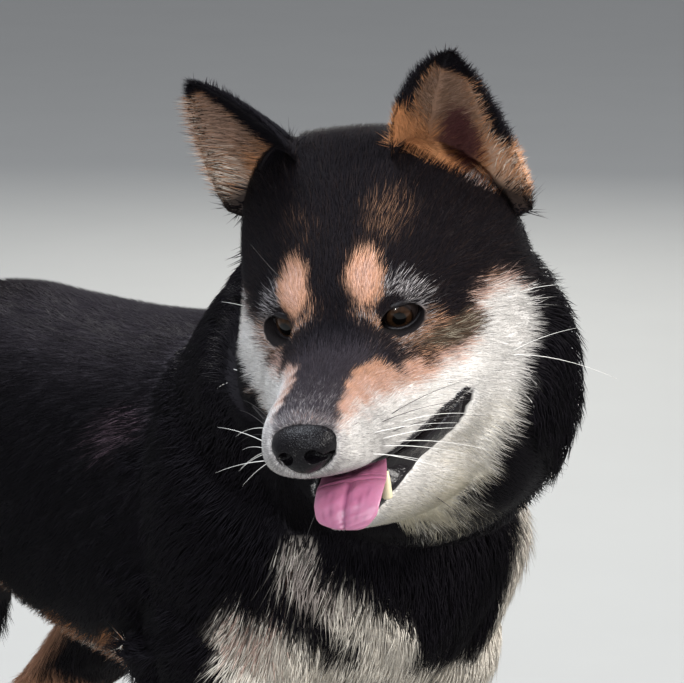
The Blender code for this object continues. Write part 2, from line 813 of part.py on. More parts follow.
def brushed_tail(draw):
    # A core along the tail and rows of locks that follow its curl out to the brush's own outline.
    rows = spline(TAIL_LINE, 3)
    core = rows.copy()
    core[:, 3] *= TAIL_CORE
    rings, _ = tube_rings(core[:, :3], core[:, 3], TAIL_SIDES)
    body = loft("tail", rings)
    fine = spline(TAIL_LINE, 12)
    fine = np.vstack([fine, fine[-1] + (fine[-1] - fine[-2]) * np.arange(1, 60)[:, None]])
    fine[:, 3] = np.maximum(fine[:, 3], 0.006)
    centres, radii = fine[:, :3], fine[:, 3]
    tangents = np.gradient(centres, axis=0)
    tangents /= np.linalg.norm(tangents, axis=1)[:, None]
    travelled = np.concatenate([[0], np.cumsum(np.linalg.norm(np.diff(centres, axis=0), axis=1))])
    reach = travelled[len(spline(TAIL_LINE, 12)) - 1]

    def at(distance, turn, share):
        # A point of the brush: how far along it, where around it, and how far out.
        index = int(np.searchsorted(travelled, min(distance, travelled[-1])))
        along = Vector(tangents[index])
        across = Vector((1, 0, 0))
        across = (across - along * across.dot(along)).normalized()
        out = across * math.cos(turn) + along.cross(across) * math.sin(turn)
        return Vector(centres[index]) + out * (radii[index] * share), out

    made = []
    for row in range(BRUSH_ROWS):
        for place in range(BRUSH_AROUND):
            turn = 2 * math.pi * (place + 0.5 * (row % 2) + draw.uniform(-0.12, 0.12)) / BRUSH_AROUND
            start = reach * (0.045 + 0.90 * row / (BRUSH_ROWS - 1)) + draw.uniform(-0.004, 0.004)
            length = reach * BRUSH_LENGTH * draw.uniform(0.85, 1.1)
            steps = ((-0.15, 0.30), (0.25, 0.70), (0.66, 0.94), (1.0, 1.04 if row < BRUSH_ROWS - 1 else 0.5))
            spots = [at(start + length * t, turn, share) for t, share in steps]
            widest = 0.0135 * (1.0 if row < BRUSH_ROWS - 2 else 0.7)
            widths = [widest * 0.8, widest, widest * 0.72]
            made.append(lock([p for p, _ in spots], widths, [out for _, out in spots[:3]], 0.32))
    return union_all(body, made)


TAIL_ARCH = 0.437
TAIL_FRONT = 0.205
TAIL_END = 0.379


def tail_pieces():
    # The curl is parted into the rise, the arch over the top and the end that comes down.
    tail = brushed_tail(random.Random(6))
    arch = carve(tail, "tail_2", (-0.2, 0.0, TAIL_ARCH), (0.2, 0.4, 0.6))
    end = carve(tail, "tail_3", (-0.2, 0.0, TAIL_END), (0.2, TAIL_FRONT, TAIL_ARCH))
    return keep_largest(tail), arch, end


HEAD_OUTLINE = (
    (-0.200, -0.125),
    (-0.010, -0.125),
    (0.045, -0.112),
    (0.088, 0.030),
    (0.092, 0.250),
    (-0.200, 0.250),
)
UPPER_LIP = (
    (-0.1200, -0.0575),
    (-0.0550, -0.0580),
    (-0.0440, -0.0577),
    (-0.0350, -0.0589),
    (-0.0230, -0.0538),
    (-0.0117, -0.0488),
    (-0.0013, -0.0436),
    (0.0025, -0.0396),
)
LOWER_LIP = (
    (0.0025, -0.0404),
    (-0.0060, -0.0510),
    (-0.0150, -0.0580),
    (-0.0230, -0.0635),
    (-0.0310, -0.0690),
    (-0.0430, -0.0750),
    (-0.0580, -0.0785),
    (-0.1200, -0.0820),
)
JAW_OUTLINE = (
    (0.0025, -0.0400),
    (-0.0040, -0.0467),
    (-0.0150, -0.0545),
    (-0.0350, -0.0640),
    (-0.1200, -0.0690),
    (-0.1200, -0.200),
    (0.0340, -0.200),
    (0.0340, -0.125),
)


LIP_RADIUS = 0.0019


def add_lips(head):
    # Rounded rims along both edges of the mouth slot, from the corner to beside the nose.
    surface = surface_of(head)
    across = HEAD.to_3x3() @ Vector((1, 0, 0))
    rims = []
    for side in (1, -1):
        for line, lift in ((UPPER_LIP[1:], 0.0010), (LOWER_LIP[:-1], -0.0010)):
            rows = []
            for y, z in line:
                hit, _, _, _ = surface.ray_cast(HEAD @ Vector((side * 0.12, y, z + lift)), across * -side)
                if hit:
                    rows.append((*(hit - across * side * 0.0008), LIP_RADIUS))
            rims.append(limb("lip", rows, sides=6, spans=1))
    return union_all(head, rims)


def part_body(body):
    # Thin cuts part the fused body into the pieces that a person would name.
    reach = 0.5
    head = carve_outline(body, "head", HEAD_OUTLINE, 0.105, HEAD)
    boolean(head, prism("mouth", UPPER_LIP + LOWER_LIP, 0.10, HEAD), "DIFFERENCE")
    add_lips(head)
    jaw = carve_outline(head, "jaw", JAW_OUTLINE, 0.10, HEAD)
    for side, word in ((1, "left"), (-1, "right")):
        low_x, high_x = sorted((side * 0.002, side * reach))
        for leg, y_low, y_high, top, ankle in (
            ("front", -reach, 0.0, 0.187, 0.052),
            ("hind", 0.0, reach, 0.118, 0.048),
        ):
            paw_piece = carve(body, "paw", (low_x, y_low, -0.01), (high_x, y_high, ankle))
            finish_node(paw_piece, f"{leg}_paw_{word}", "cream")
            leg_piece = carve(body, "leg", (low_x, y_low, ankle + GAP), (high_x, y_high, top))
            finish_node(leg_piece, f"{leg}_leg_{word}", "tan")
        thigh = carve(body, "thigh", (low_x, 0.085, 0.118 + GAP), (high_x, reach, 0.245))
        finish_node(thigh, f"thigh_{word}", "black")
    neck_place = Matrix.Translation((0, -0.118, 0.345)) @ Matrix.Rotation(math.radians(38), 4, "X")
    neck_piece = carve(body, "neck", (-0.2, -0.25, 0.0), (0.2, 0.25, 0.3), neck_place)
    finish_node(neck_piece, "neck", "black")
    hips = carve(body, "hips", (-0.2, 0.095, 0.0), (0.2, 0.4, 0.6))
    finish_node(hips, "hindquarters", "black")
    return head, jaw


def cut_clear(obj, neighbour):
    # Cuts a piece by its neighbour, with the gap that touching pieces keep.
    return boolean(obj, grown(neighbour, GAP), "DIFFERENCE")


def add_claws():
    for side, word in ((1, "left"), (-1, "right")):
        for leg, track, y, height in (("front", FRONT_TRACK, -0.134, 0.0175), ("hind", HIND_TRACK, 0.182, 0.0168)):
            own_paw = bpy.data.objects[f"{leg}_paw_{word}"]
            for number, (across, forward) in enumerate(zip(TOE_SPREAD, TOE_REACH), 1):
                tip_y = y + forward - 0.0150
                nail = claw(side * track + across, tip_y, height * 0.80 - 0.001, number)
                cut_clear(nail, own_paw)
                finish_node(nail, f"{leg}_claw_{word}_{number}", "claw")


def centre_on_origin():
    # The middle of the model's footprint comes to the origin, on the floor.
    points = [vert.co for obj in dog.objects for vert in obj.data.vertices]
    low = Vector([min(p[axis] for p in points) for axis in range(3)])
    high = Vector([max(p[axis] for p in points) for axis in range(3)])
    shift = Matrix.Translation((-(low.x + high.x) / 2, -(low.y + high.y) / 2, -low.z))
    for obj in dog.objects:
        obj.data.transform(shift)


def build():
    body = whole_body()
    head, jaw = part_body(body)
    finish_node(body, "torso", "black")
    eyes = add_eyes(head)
    nose = nose_pad()
    boolean(head, grown(nose, GAP), "DIFFERENCE")
    finish_node(nose, "nose", "nose")
    for word, eye in eyes.items():
        finish_node(eye, f"eye_{word}", "eye")
    tongue_piece = tongue()
    cut_clear(tongue_piece, jaw)
    cut_clear(tongue_piece, head)
    finish_node(tongue_piece, "tongue", "tongue")
    for side, word in ((1, "left"), (-1, "right")):
        ear_piece = ear(side)
        cut_clear(ear_piece, head)
        finish_node(ear_piece, f"ear_{word}", "black")
        tooth = canine(side)
        cut_clear(tooth, jaw)
        cut_clear(tooth, bpy.data.objects["tongue"])
        finish_node(tooth, f"canine_{word}", "tooth")
    finish_node(head, "head", "black")
    finish_node(jaw, "lower_jaw", "cream")
    add_claws()
    hips = bpy.data.objects["hindquarters"]
    for number, piece in enumerate(tail_pieces(), 1):
        if number == 1:
            cut_clear(piece, hips)
        finish_node(piece, f"tail_{number}", "black")
    centre_on_origin()


clear_scene()
dog = new_collection("shiba_inu")
shapes = new_collection("shapes")
materials = {name: coat_material(name) for name in COATS}
build()
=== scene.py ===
# Shiba inu, standing at life size with its head turned to its right: skin, coat and finishes over the solids.
import math

import bmesh
import bpy
import numpy as np
from mathutils import Euler, Matrix, Vector
from mathutils.bvhtree import BVHTree


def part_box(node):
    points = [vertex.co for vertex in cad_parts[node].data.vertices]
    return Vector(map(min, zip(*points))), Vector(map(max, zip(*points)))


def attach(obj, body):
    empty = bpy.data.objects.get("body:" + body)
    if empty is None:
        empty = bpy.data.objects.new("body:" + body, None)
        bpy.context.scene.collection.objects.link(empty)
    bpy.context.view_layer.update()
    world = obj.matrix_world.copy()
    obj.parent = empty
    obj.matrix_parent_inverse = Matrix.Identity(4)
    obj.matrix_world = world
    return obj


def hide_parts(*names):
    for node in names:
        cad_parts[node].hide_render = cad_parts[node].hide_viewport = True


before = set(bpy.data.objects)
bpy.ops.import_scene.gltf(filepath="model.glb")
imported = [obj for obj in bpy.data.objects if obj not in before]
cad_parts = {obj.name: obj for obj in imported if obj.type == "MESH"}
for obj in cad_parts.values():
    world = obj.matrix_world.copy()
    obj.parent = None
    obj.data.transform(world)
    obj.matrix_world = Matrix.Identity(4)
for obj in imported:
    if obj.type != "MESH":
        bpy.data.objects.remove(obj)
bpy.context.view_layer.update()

# Forms are in metres, with the dog facing -Y and its soles at z = 0, and shift moves them onto the solids
headPose = {"place": (-0.088, -0.240, 0.430), "turn": -59.0, "nod": 6.4, "tilt": -9.2}
headMatrix = (
    Matrix.Translation(headPose["place"])
    @ Matrix.Rotation(math.radians(headPose["turn"]), 4, "Z")
    @ Matrix.Rotation(math.radians(headPose["nod"]), 4, "X")
    @ Matrix.Rotation(math.radians(headPose["tilt"]), 4, "Y")
)
eyeForm = {
    "spacing": 0.0254, "radius": 0.0105, "depth": 0.0080, "aim": 24.0, "nod": 8.0, "slant": -8.0,
    "halfWidth": 0.0110, "up": 0.0055, "down": 0.0066, "pinch": 0.15, "lid": 0.0016,
}


def eyeMatrix(side):
    return (
        headMatrix
        @ Matrix.Translation((side * eyeForm["spacing"], eyeForm["depth"], 0.0))
        @ Matrix.Rotation(math.radians(side * eyeForm["aim"]), 4, "Z")
        @ Matrix.Rotation(math.radians(eyeForm["nod"]), 4, "X")
        @ Matrix.Rotation(math.radians(side * eyeForm["slant"]), 4, "Y")
    )


lowCorner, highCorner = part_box("eye_left")
shift = (lowCorner + highCorner) / 2 - eyeMatrix(1).translation
shift.z = 0.0
toWorld = Matrix.Translation(shift)
headTurn = np.array(headMatrix)[:3, :3]
headSpot = np.array(headMatrix)[:3, 3]


def toHead(points):
    return (points - headSpot) @ headTurn


def fromHead(points):
    return points @ headTurn.T + headSpot


def addObject(name, data):
    obj = bpy.data.objects.new(name, data)
    bpy.context.scene.collection.objects.link(obj)
    return obj


# Camera: the photo's viewing angle on the head and shoulders
view = {
    "azimuth": -40.0, "elevation": 12.0, "distance": 2.0, "width": 0.318, "drop": 0.011, "sensor": 36.0,
    "clip": (0.05, 50.0),
}
azimuth, elevation = math.radians(view["azimuth"]), math.radians(view["elevation"])
level = math.cos(elevation)
backward = Vector((math.sin(azimuth) * level, -math.cos(azimuth) * level, math.sin(elevation)))
cameraData = bpy.data.cameras.new("camera")
camera = addObject("camera", cameraData)
camera.location = toWorld @ (Vector(headPose["place"]) + Vector((0, 0, -view["drop"]))
                             + backward * view["distance"])
camera.rotation_mode = "QUATERNION"
camera.rotation_quaternion = (-backward).to_track_quat("-Z", "Y")
cameraData.sensor_width = view["sensor"]
cameraData.lens = view["sensor"] * view["distance"] / view["width"]
cameraData.clip_start, cameraData.clip_end = view["clip"]
bpy.context.scene.camera = camera
print("stage: camera", tuple(round(x, 4) for x in shift))


# Mesh helpers

def meshObject(name, points, faces):
    mesh = bpy.data.meshes.new(name)
    mesh.from_pydata([tuple(p) for p in points], [], [tuple(f) for f in faces])
    mesh.update()
    return addObject(name, mesh)


def removeObject(obj):
    bpy.data.objects.remove(obj, do_unlink=True)


def applyModifiers(obj):
    bpy.context.view_layer.update()
    graph = bpy.context.evaluated_depsgraph_get()
    mesh = bpy.data.meshes.new_from_object(obj.evaluated_get(graph))
    obj.modifiers.clear()
    obj.data = mesh
    return obj


def joinAll(name, objects):
    first = objects[0]
    with bpy.context.temp_override(active_object=first, object=first, selected_objects=objects,
                                   selected_editable_objects=objects):
        bpy.ops.object.join()
    first.name = first.data.name = name
    return first


def remeshed(obj, voxel, rounds):
    # The form made anew as one even mesh, then smoothed
    remesh = obj.modifiers.new("remesh", "REMESH")
    remesh.mode = "VOXEL"
    remesh.voxel_size = voxel
    soften = obj.modifiers.new("soften", "SMOOTH")
    soften.factor = 0.5
    soften.iterations = rounds
    return applyModifiers(obj)


def cutWith(obj, other, operation="DIFFERENCE"):
    cut = obj.modifiers.new("cut", "BOOLEAN")
    cut.operation = operation
    cut.object = other
    cut.solver = "MANIFOLD"
    applyModifiers(obj)
    removeObject(other)
    return obj


def turnOutward(obj):
    mesh = bmesh.new()
    mesh.from_mesh(obj.data)
    bmesh.ops.recalc_face_normals(mesh, faces=mesh.faces)
    mesh.to_mesh(obj.data)
    mesh.free()
    return obj


def spline(rows, spans):
    # A smooth curve through rows of numbers
    rows = np.array(rows, float)
    ends = np.vstack([2 * rows[0] - rows[1], rows, 2 * rows[-1] - rows[-2]])
    made = []
    for i in range(len(rows) - 1):
        a, b, c, d = ends[i : i + 4]
        for t in np.linspace(0, 1, spans, endpoint=False):
            made.append(0.5 * (2 * b + (c - a) * t + (2 * a - 5 * b + 4 * c - d) * t**2
                               + (3 * b - a - 3 * c + d) * t**3))
    made.append(rows[-1])
    return np.array(made)


def loftRings(name, rings, place=None):
    rings = np.array(rings, float)
    count, sides = rings.shape[:2]
    faces = [tuple(range(sides))[::-1], tuple((count - 1) * sides + k for k in range(sides))]
    for i in range(count - 1):
        for k in range(sides):
            n = (k + 1) % sides
            faces.append((i * sides + k, i * sides + n, (i + 1) * sides + n, (i + 1) * sides + k))
    obj = turnOutward(meshObject(name, rings.reshape(-1, 3), faces))
    if place:
        obj.data.transform(place)
    return obj


def barrel(name, stations, sides, spans, place=None):
    # A station is (y, top, bottom, half width, height of the widest point, squareness)
    rings = []
    for y, top, bottom, half, middle, power in spline(stations, spans):
        ring = []
        for k in range(sides):
            c, s = math.cos(2 * math.pi * k / sides), math.sin(2 * math.pi * k / sides)
            c, s = math.copysign(abs(c) ** (2 / power), c), math.copysign(abs(s) ** (2 / power), s)
            ring.append((half * c, y, middle + s * ((top - middle) if s > 0 else (middle - bottom))))
        rings.append(ring)
    return loftRings(name, rings, place)


def tubeRings(rows, sides, flat=1.0):
    # Round rings across rows of (x, y, z, radius)
    rows = np.array(rows, float)
    tangents = np.gradient(rows[:, :3], axis=0)
    tangents /= np.linalg.norm(tangents, axis=1)[:, None] + 1e-12
    angles = 2 * np.pi * np.arange(sides) / sides
    rings = []
    for row, along in zip(rows, tangents):
        side = np.array((1.0, 0.0, 0.0)) if abs(along[0]) < 0.9 else np.array((0.0, 1.0, 0.0))
        across = side - along * side.dot(along)
        across /= np.linalg.norm(across)
        third = np.cross(along, across)
        rings.append(row[:3] + row[3] * (flat * np.outer(np.cos(angles), across)
                                         + np.outer(np.sin(angles), third)))
    return np.array(rings)


def limb(name, rows, sides=20, spans=5, place=None):
    return loftRings(name, tubeRings(spline(rows, spans), sides), place)


def ball(name, centre, radii, lean=(0, 0, 0), detail=(32, 20), place=None):
    bpy.ops.mesh.primitive_uv_sphere_add(segments=detail[0], ring_count=detail[1], radius=1.0)
    obj = bpy.context.active_object
    obj.name = name
    matrix = Matrix.LocRotScale(Vector(centre), Euler([math.radians(a) for a in lean]), Vector(radii))
    obj.data.transform(place @ matrix if place else matrix)
    return obj


def box(name, low, high, place=None):
    bpy.ops.mesh.primitive_cube_add(size=1.0)
    obj = bpy.context.active_object
    obj.name = name
    low, high = Vector(low), Vector(high)
    matrix = Matrix.LocRotScale((low + high) / 2, None, high - low)
    obj.data.transform(place @ matrix if place else matrix)
    return obj


def pointsOf(mesh):
    points = np.empty(len(mesh.vertices) * 3, np.float32)
    mesh.vertices.foreach_get("co", points)
    return points.reshape(-1, 3).astype(float)


def normalsOf(mesh):
    normals = np.empty(len(mesh.vertices) * 3, np.float32)
    mesh.vertices.foreach_get("normal", normals)
    return normals.reshape(-1, 3).astype(float)


def setPoints(mesh, points):
    mesh.vertices.foreach_set("co", points.astype(np.float32).ravel())
    mesh.update()


def ease(low, high, value):
    share = np.clip((value - low) / (high - low), 0.0, 1.0)
    return share * share * (3 - 2 * share)


def ripple(points, size, seed):
    # A value that wanders smoothly between about -1 and 1, with waves of about this size
    draw = np.random.default_rng(seed)
    total = np.zeros(len(points))
    for _ in range(8):
        wave = draw.normal(size=points.shape[1])
        wave *= 2 * np.pi / (size * np.linalg.norm(wave)) * draw.uniform(0.6, 1.7)
        total += np.sin(points @ wave + draw.uniform(0, 2 * np.pi))
    return total / 3.2


def bell(value):
    # 1 at 0, falling smoothly away on both sides, for one value or many
    return (np.exp if isinstance(value, np.ndarray) else math.exp)(-(value**2))


def unit(rows):
    return rows / (np.linalg.norm(rows, axis=1)[:, None] + 1e-12)


# The body's forms, close to those of the solids

torsoForm = {
    "stations": ((-0.200, 0.318, 0.250, 0.032, 0.286, 2.1), (-0.182, 0.350, 0.222, 0.062, 0.286, 2.1),
                 (-0.145, 0.380, 0.200, 0.081, 0.285, 2.1), (-0.090, 0.395, 0.190, 0.088, 0.283, 2.1),
                 (-0.030, 0.389, 0.191, 0.091, 0.282, 2.15), (0.040, 0.382, 0.199, 0.090, 0.284, 2.2),
                 (0.100, 0.380, 0.218, 0.082, 0.292, 2.2), (0.150, 0.379, 0.234, 0.077, 0.300, 2.2),
                 (0.195, 0.369, 0.246, 0.069, 0.303, 2.2), (0.225, 0.345, 0.262, 0.048, 0.303, 2.1),
                 (0.238, 0.320, 0.285, 0.020, 0.302, 2.0)),
    "rump": ((0, 0.200, 0.335), (0.052, 0.042, 0.036)),
}
neckForm = {
    "rows": ((0.000, -0.085, 0.312, 0.083), (0.000, -0.120, 0.338, 0.084), (-0.006, -0.150, 0.366, 0.085),
             (-0.018, -0.176, 0.392, 0.084), (-0.030, -0.192, 0.412, 0.080)),
    "ruff": ((0.0, 0.070, -0.046), (0.088, 0.048, 0.092)),
    "cheeks": ((0.0, 0.054, -0.048), (0.0825, 0.052, 0.084)),
}
headForm = {
    "skull": ((-0.0805, -0.0290, -0.0440, 0.0100, -0.0370, 2.2),
              (-0.0770, -0.0225, -0.0515, 0.0175, -0.0390, 2.3),
              (-0.0690, -0.0180, -0.0545, 0.0225, -0.0405, 2.4),
              (-0.0550, -0.0155, -0.0575, 0.0262, -0.0430, 2.4),
              (-0.0400, -0.0130, -0.0600, 0.0295, -0.0440, 2.3),
              (-0.0260, -0.0085, -0.0640, 0.0340, -0.0440, 2.2),
              (-0.0150, 0.0010, -0.0700, 0.0395, -0.0430, 2.2),
              (-0.0050, 0.0165, -0.0760, 0.0460, -0.0400, 2.2),
              (0.0060, 0.0330, -0.0820, 0.0540, -0.0370, 2.3),
              (0.0200, 0.0530, -0.0880, 0.0640, -0.0320, 2.25),
              (0.0380, 0.0730, -0.0920, 0.0715, -0.0280, 2.2),
              (0.0580, 0.0775, -0.0900, 0.0755, -0.0230, 2.3),
              (0.0800, 0.0700, -0.0800, 0.0720, -0.0160, 2.5),
              (0.1020, 0.0500, -0.0600, 0.0580, -0.0080, 2.2),
              (0.1160, 0.0240, -0.0280, 0.0300, -0.0040, 2.0)),
    "jaw": ((-0.0530, -0.0800, -0.0845, 0.0050, -0.0825, 2.1),
            (-0.0490, -0.0765, -0.0870, 0.0095, -0.0825, 2.2),
            (-0.0380, -0.0720, -0.0910, 0.0148, -0.0815, 2.3),
            (-0.0220, -0.0655, -0.0960, 0.0212, -0.0790, 2.3),
            (-0.0060, -0.0570, -0.1005, 0.0330, -0.0745, 2.3),
            (0.0080, -0.0450, -0.1030, 0.0440, -0.0700, 2.3),
            (0.0250, -0.0400, -0.1010, 0.0520, -0.0680, 2.2),
            (0.0500, -0.0400, -0.0950, 0.0540, -0.0650, 2.2)),
}
legForm = {
    "frontTrack": 0.056, "hindTrack": 0.060,
    "front": ((0.006, -0.088, 0.240, 0.040), (0.003, -0.092, 0.200, 0.031), (0.0, -0.100, 0.150, 0.0235),
              (-0.001, -0.106, 0.100, 0.0195), (-0.001, -0.108, 0.075, 0.0195), (0.0, -0.113, 0.045, 0.0180),
              (0.0, -0.124, 0.020, 0.0185)),
    "hind": ((-0.006, 0.138, 0.262, 0.046), (0.000, 0.128, 0.222, 0.042), (0.005, 0.142, 0.180, 0.033),
             (0.003, 0.178, 0.142, 0.0235), (0.001, 0.207, 0.112, 0.0195), (0.0, 0.208, 0.080, 0.0165),
             (0.0, 0.202, 0.045, 0.0162), (0.0, 0.194, 0.020, 0.0175)),
    # centre, radii and lean
    "shoulder": ((0.058, -0.122, 0.290), (0.038, 0.058, 0.088), -18),
    "upperArm": ((0.064, -0.122, 0.240), (0.034, 0.056, 0.044), 38),
    "thigh": ((0.046, 0.166, 0.276), (0.040, 0.066, 0.092), -12),
    "heel": ((0.060, 0.221, 0.113), (0.0115, 0.012, 0.017), 0),
    # y, half width and height
    "frontPaw": (-0.134, 0.0225, 0.0175), "hindPaw": (0.182, 0.0210, 0.0168),
    "toeSpread": (-0.0165, -0.0058, 0.0058, 0.0165), "toeReach": (-0.012, -0.021, -0.021, -0.012),
}
skinForm = {"voxel": 0.0022, "smoothing": 19, "lowest": 0.0006, "mouthHalf": 0.10, "socketGap": 0.0002}


def pawForms(x, y, halfWidth, height):
    made = [ball("paw", (x, y, height), (halfWidth, 0.028, height + 0.003))]
    for across, forward in zip(legForm["toeSpread"], legForm["toeReach"]):
        spot = (x + across, y + forward, height * 0.80)
        made.append(ball("toe", spot, (0.0078, 0.0165, height * 0.86), detail=(20, 14)))
    return made


def bodyForms():
    made = [
        barrel("torso", torsoForm["stations"], 40, 5),
        ball("rump", *torsoForm["rump"]),
        limb("neck", neckForm["rows"], 40, 5),
        ball("ruff", *neckForm["ruff"], detail=(40, 26), place=headMatrix),
        ball("cheeks", *neckForm["cheeks"], detail=(40, 26), place=headMatrix),
        barrel("skull", headForm["skull"], 64, 6, headMatrix),
        barrel("jaw", headForm["jaw"], 48, 5, headMatrix),
    ]
    for side in (1, -1):
        front = [(side * (legForm["frontTrack"] + x), y, z, r) for x, y, z, r in legForm["front"]]
        hind = [(side * (legForm["hindTrack"] + x), y, z, r) for x, y, z, r in legForm["hind"]]
        made += [limb("frontLeg", front), limb("hindLeg", hind)]
        for word in ("shoulder", "upperArm", "thigh", "heel"):
            (x, y, z), radii, lean = legForm[word]
            made.append(ball(word, (side * x, y, z), radii, lean=(lean, 0, 0)))
        made += pawForms(side * legForm["frontTrack"], *legForm["frontPaw"])
        made += pawForms(side * legForm["hindTrack"], *legForm["hindPaw"])
    return made


facePushes = [  # centre, reach and push in the head's own frame, on both sides
    ((0.0290, -0.0050, 0.0000), 0.0110, (-0.0015, 0.0042, 0.0)),
    ((0.0240, -0.0060, 0.0150), 0.0100, (0.0004, -0.0018, 0.0018)),
    ((0.0350, -0.0200, -0.0230), 0.0150, (-0.0020, 0.0015, 0.0)),
    ((0.0560, 0.0180, -0.0280), 0.0230, (0.0035, -0.0030, 0.0)),
    ((0.0215, -0.0600, -0.0480), 0.0130, (0.0022, 0.0, -0.0008)),
    ((0.0510, 0.0075, -0.0330), 0.0085, (0.0026, 0.0, 0.0)),
]
middlePushes = [  # on the middle line, and under the right ear
    ((0.0, -0.0100, 0.0080), 0.0090, (0.0, 0.0012, -0.0018)),
    ((0.0, 0.0150, 0.0480), 0.0120, (0.0, 0.0008, -0.0014)),
    ((-0.0720, 0.0500, 0.0250), 0.0300, (-0.0110, 0.0, 0.0010)),
    ((-0.0420, 0.0520, 0.0660), 0.0240, (-0.0030, 0.0, 0.0060)),
]
neckPushes = [  # in the body's frame
    ((-0.086, -0.138, 0.436), 0.036, (0.0190, -0.0080, -0.0060)),
    ((0.072, -0.176, 0.292), 0.036, (0.0110, -0.0060, 0.0)),
]


def sculptFace(mesh):
    points = pointsOf(mesh)
    for centre, reach, push in neckPushes:
        points += np.outer(bell(np.linalg.norm(points - np.array(centre), axis=1) / reach), push)
    local = toHead(points)
    moved = local.copy()
    pushes = list(middlePushes)
    for side in (1, -1):
        pushes += [((side * c[0], c[1], c[2]), r, (side * p[0], p[1], p[2])) for c, r, p in facePushes]
    for centre, reach, push in pushes:
        moved += np.outer(bell(np.linalg.norm(local - np.array(centre), axis=1) / reach), push)
    setPoints(mesh, fromHead(moved))


# Length, lie and depth of the coat over the body

coatLook = {
    "faceLength": ((-0.085, 0.0022), (-0.050, 0.0038), (-0.020, 0.0055), (0.000, 0.0070), (0.030, 0.0110),
                   (0.060, 0.0175), (0.090, 0.0230)),
    "crownLength": 0.0080, "neckLength": 0.0215, "bodyLength": 0.0145, "legLength": 0.0090,
    "pawLength": 0.0055, "bellyLength": 0.0260, "chestLength": 0.0230, "thighLength": 0.0160,
    "breechLength": 0.0300,
    "behindEar": (-0.080, -0.140, 0.430),  # it's shorter round this point
    # how deep the skin lies under the outline, and the tufts' width, as shares of the length
    "depth": 0.22, "legDepth": 0.16, "faceDepth": 0.17, "width": 0.022, "leastWidth": 0.00024,
    # the way that it lies
    "neckFlow": (0.10, 0.62, -0.78), "chestFlow": (0.0, 0.30, -1.0), "thighFlow": (0.0, 0.42, -0.9),
    "legFlow": (0.0, 0.12, -1.0), "faceFrom": (0.0, -0.088, -0.036),
}


def lookUp(table, value):
    xs, ys = zip(*table)
    return np.interp(value, xs, ys)


def headShare(local):
    # 1 on the face and skull, fading to 0 in the ruff and on the neck
    x, y, z = local.T
    aside = np.abs(x) - 0.30 * np.maximum(z + 0.06, 0)
    return (1 - ease(0.055, 0.092, y)) * ease(-0.130, -0.104, z) * (1 - ease(0.060, 0.074, aside))


def legShare(points):
    # 1 on the legs below elbow and stifle
    track = np.abs(np.abs(points[:, 0]) - 0.058)
    front = (points[:, 1] < 0.02) * (1 - ease(0.165, 0.215, points[:, 2])) * (points[:, 1] > -0.2)
    hind = (points[:, 1] >= 0.02) * (1 - ease(0.130, 0.180, points[:, 2]))
    return (front + hind) * (track < 0.06)


def eyeSpot(side):
    return np.array((side * eyeForm["spacing"], -0.001, 0.0))


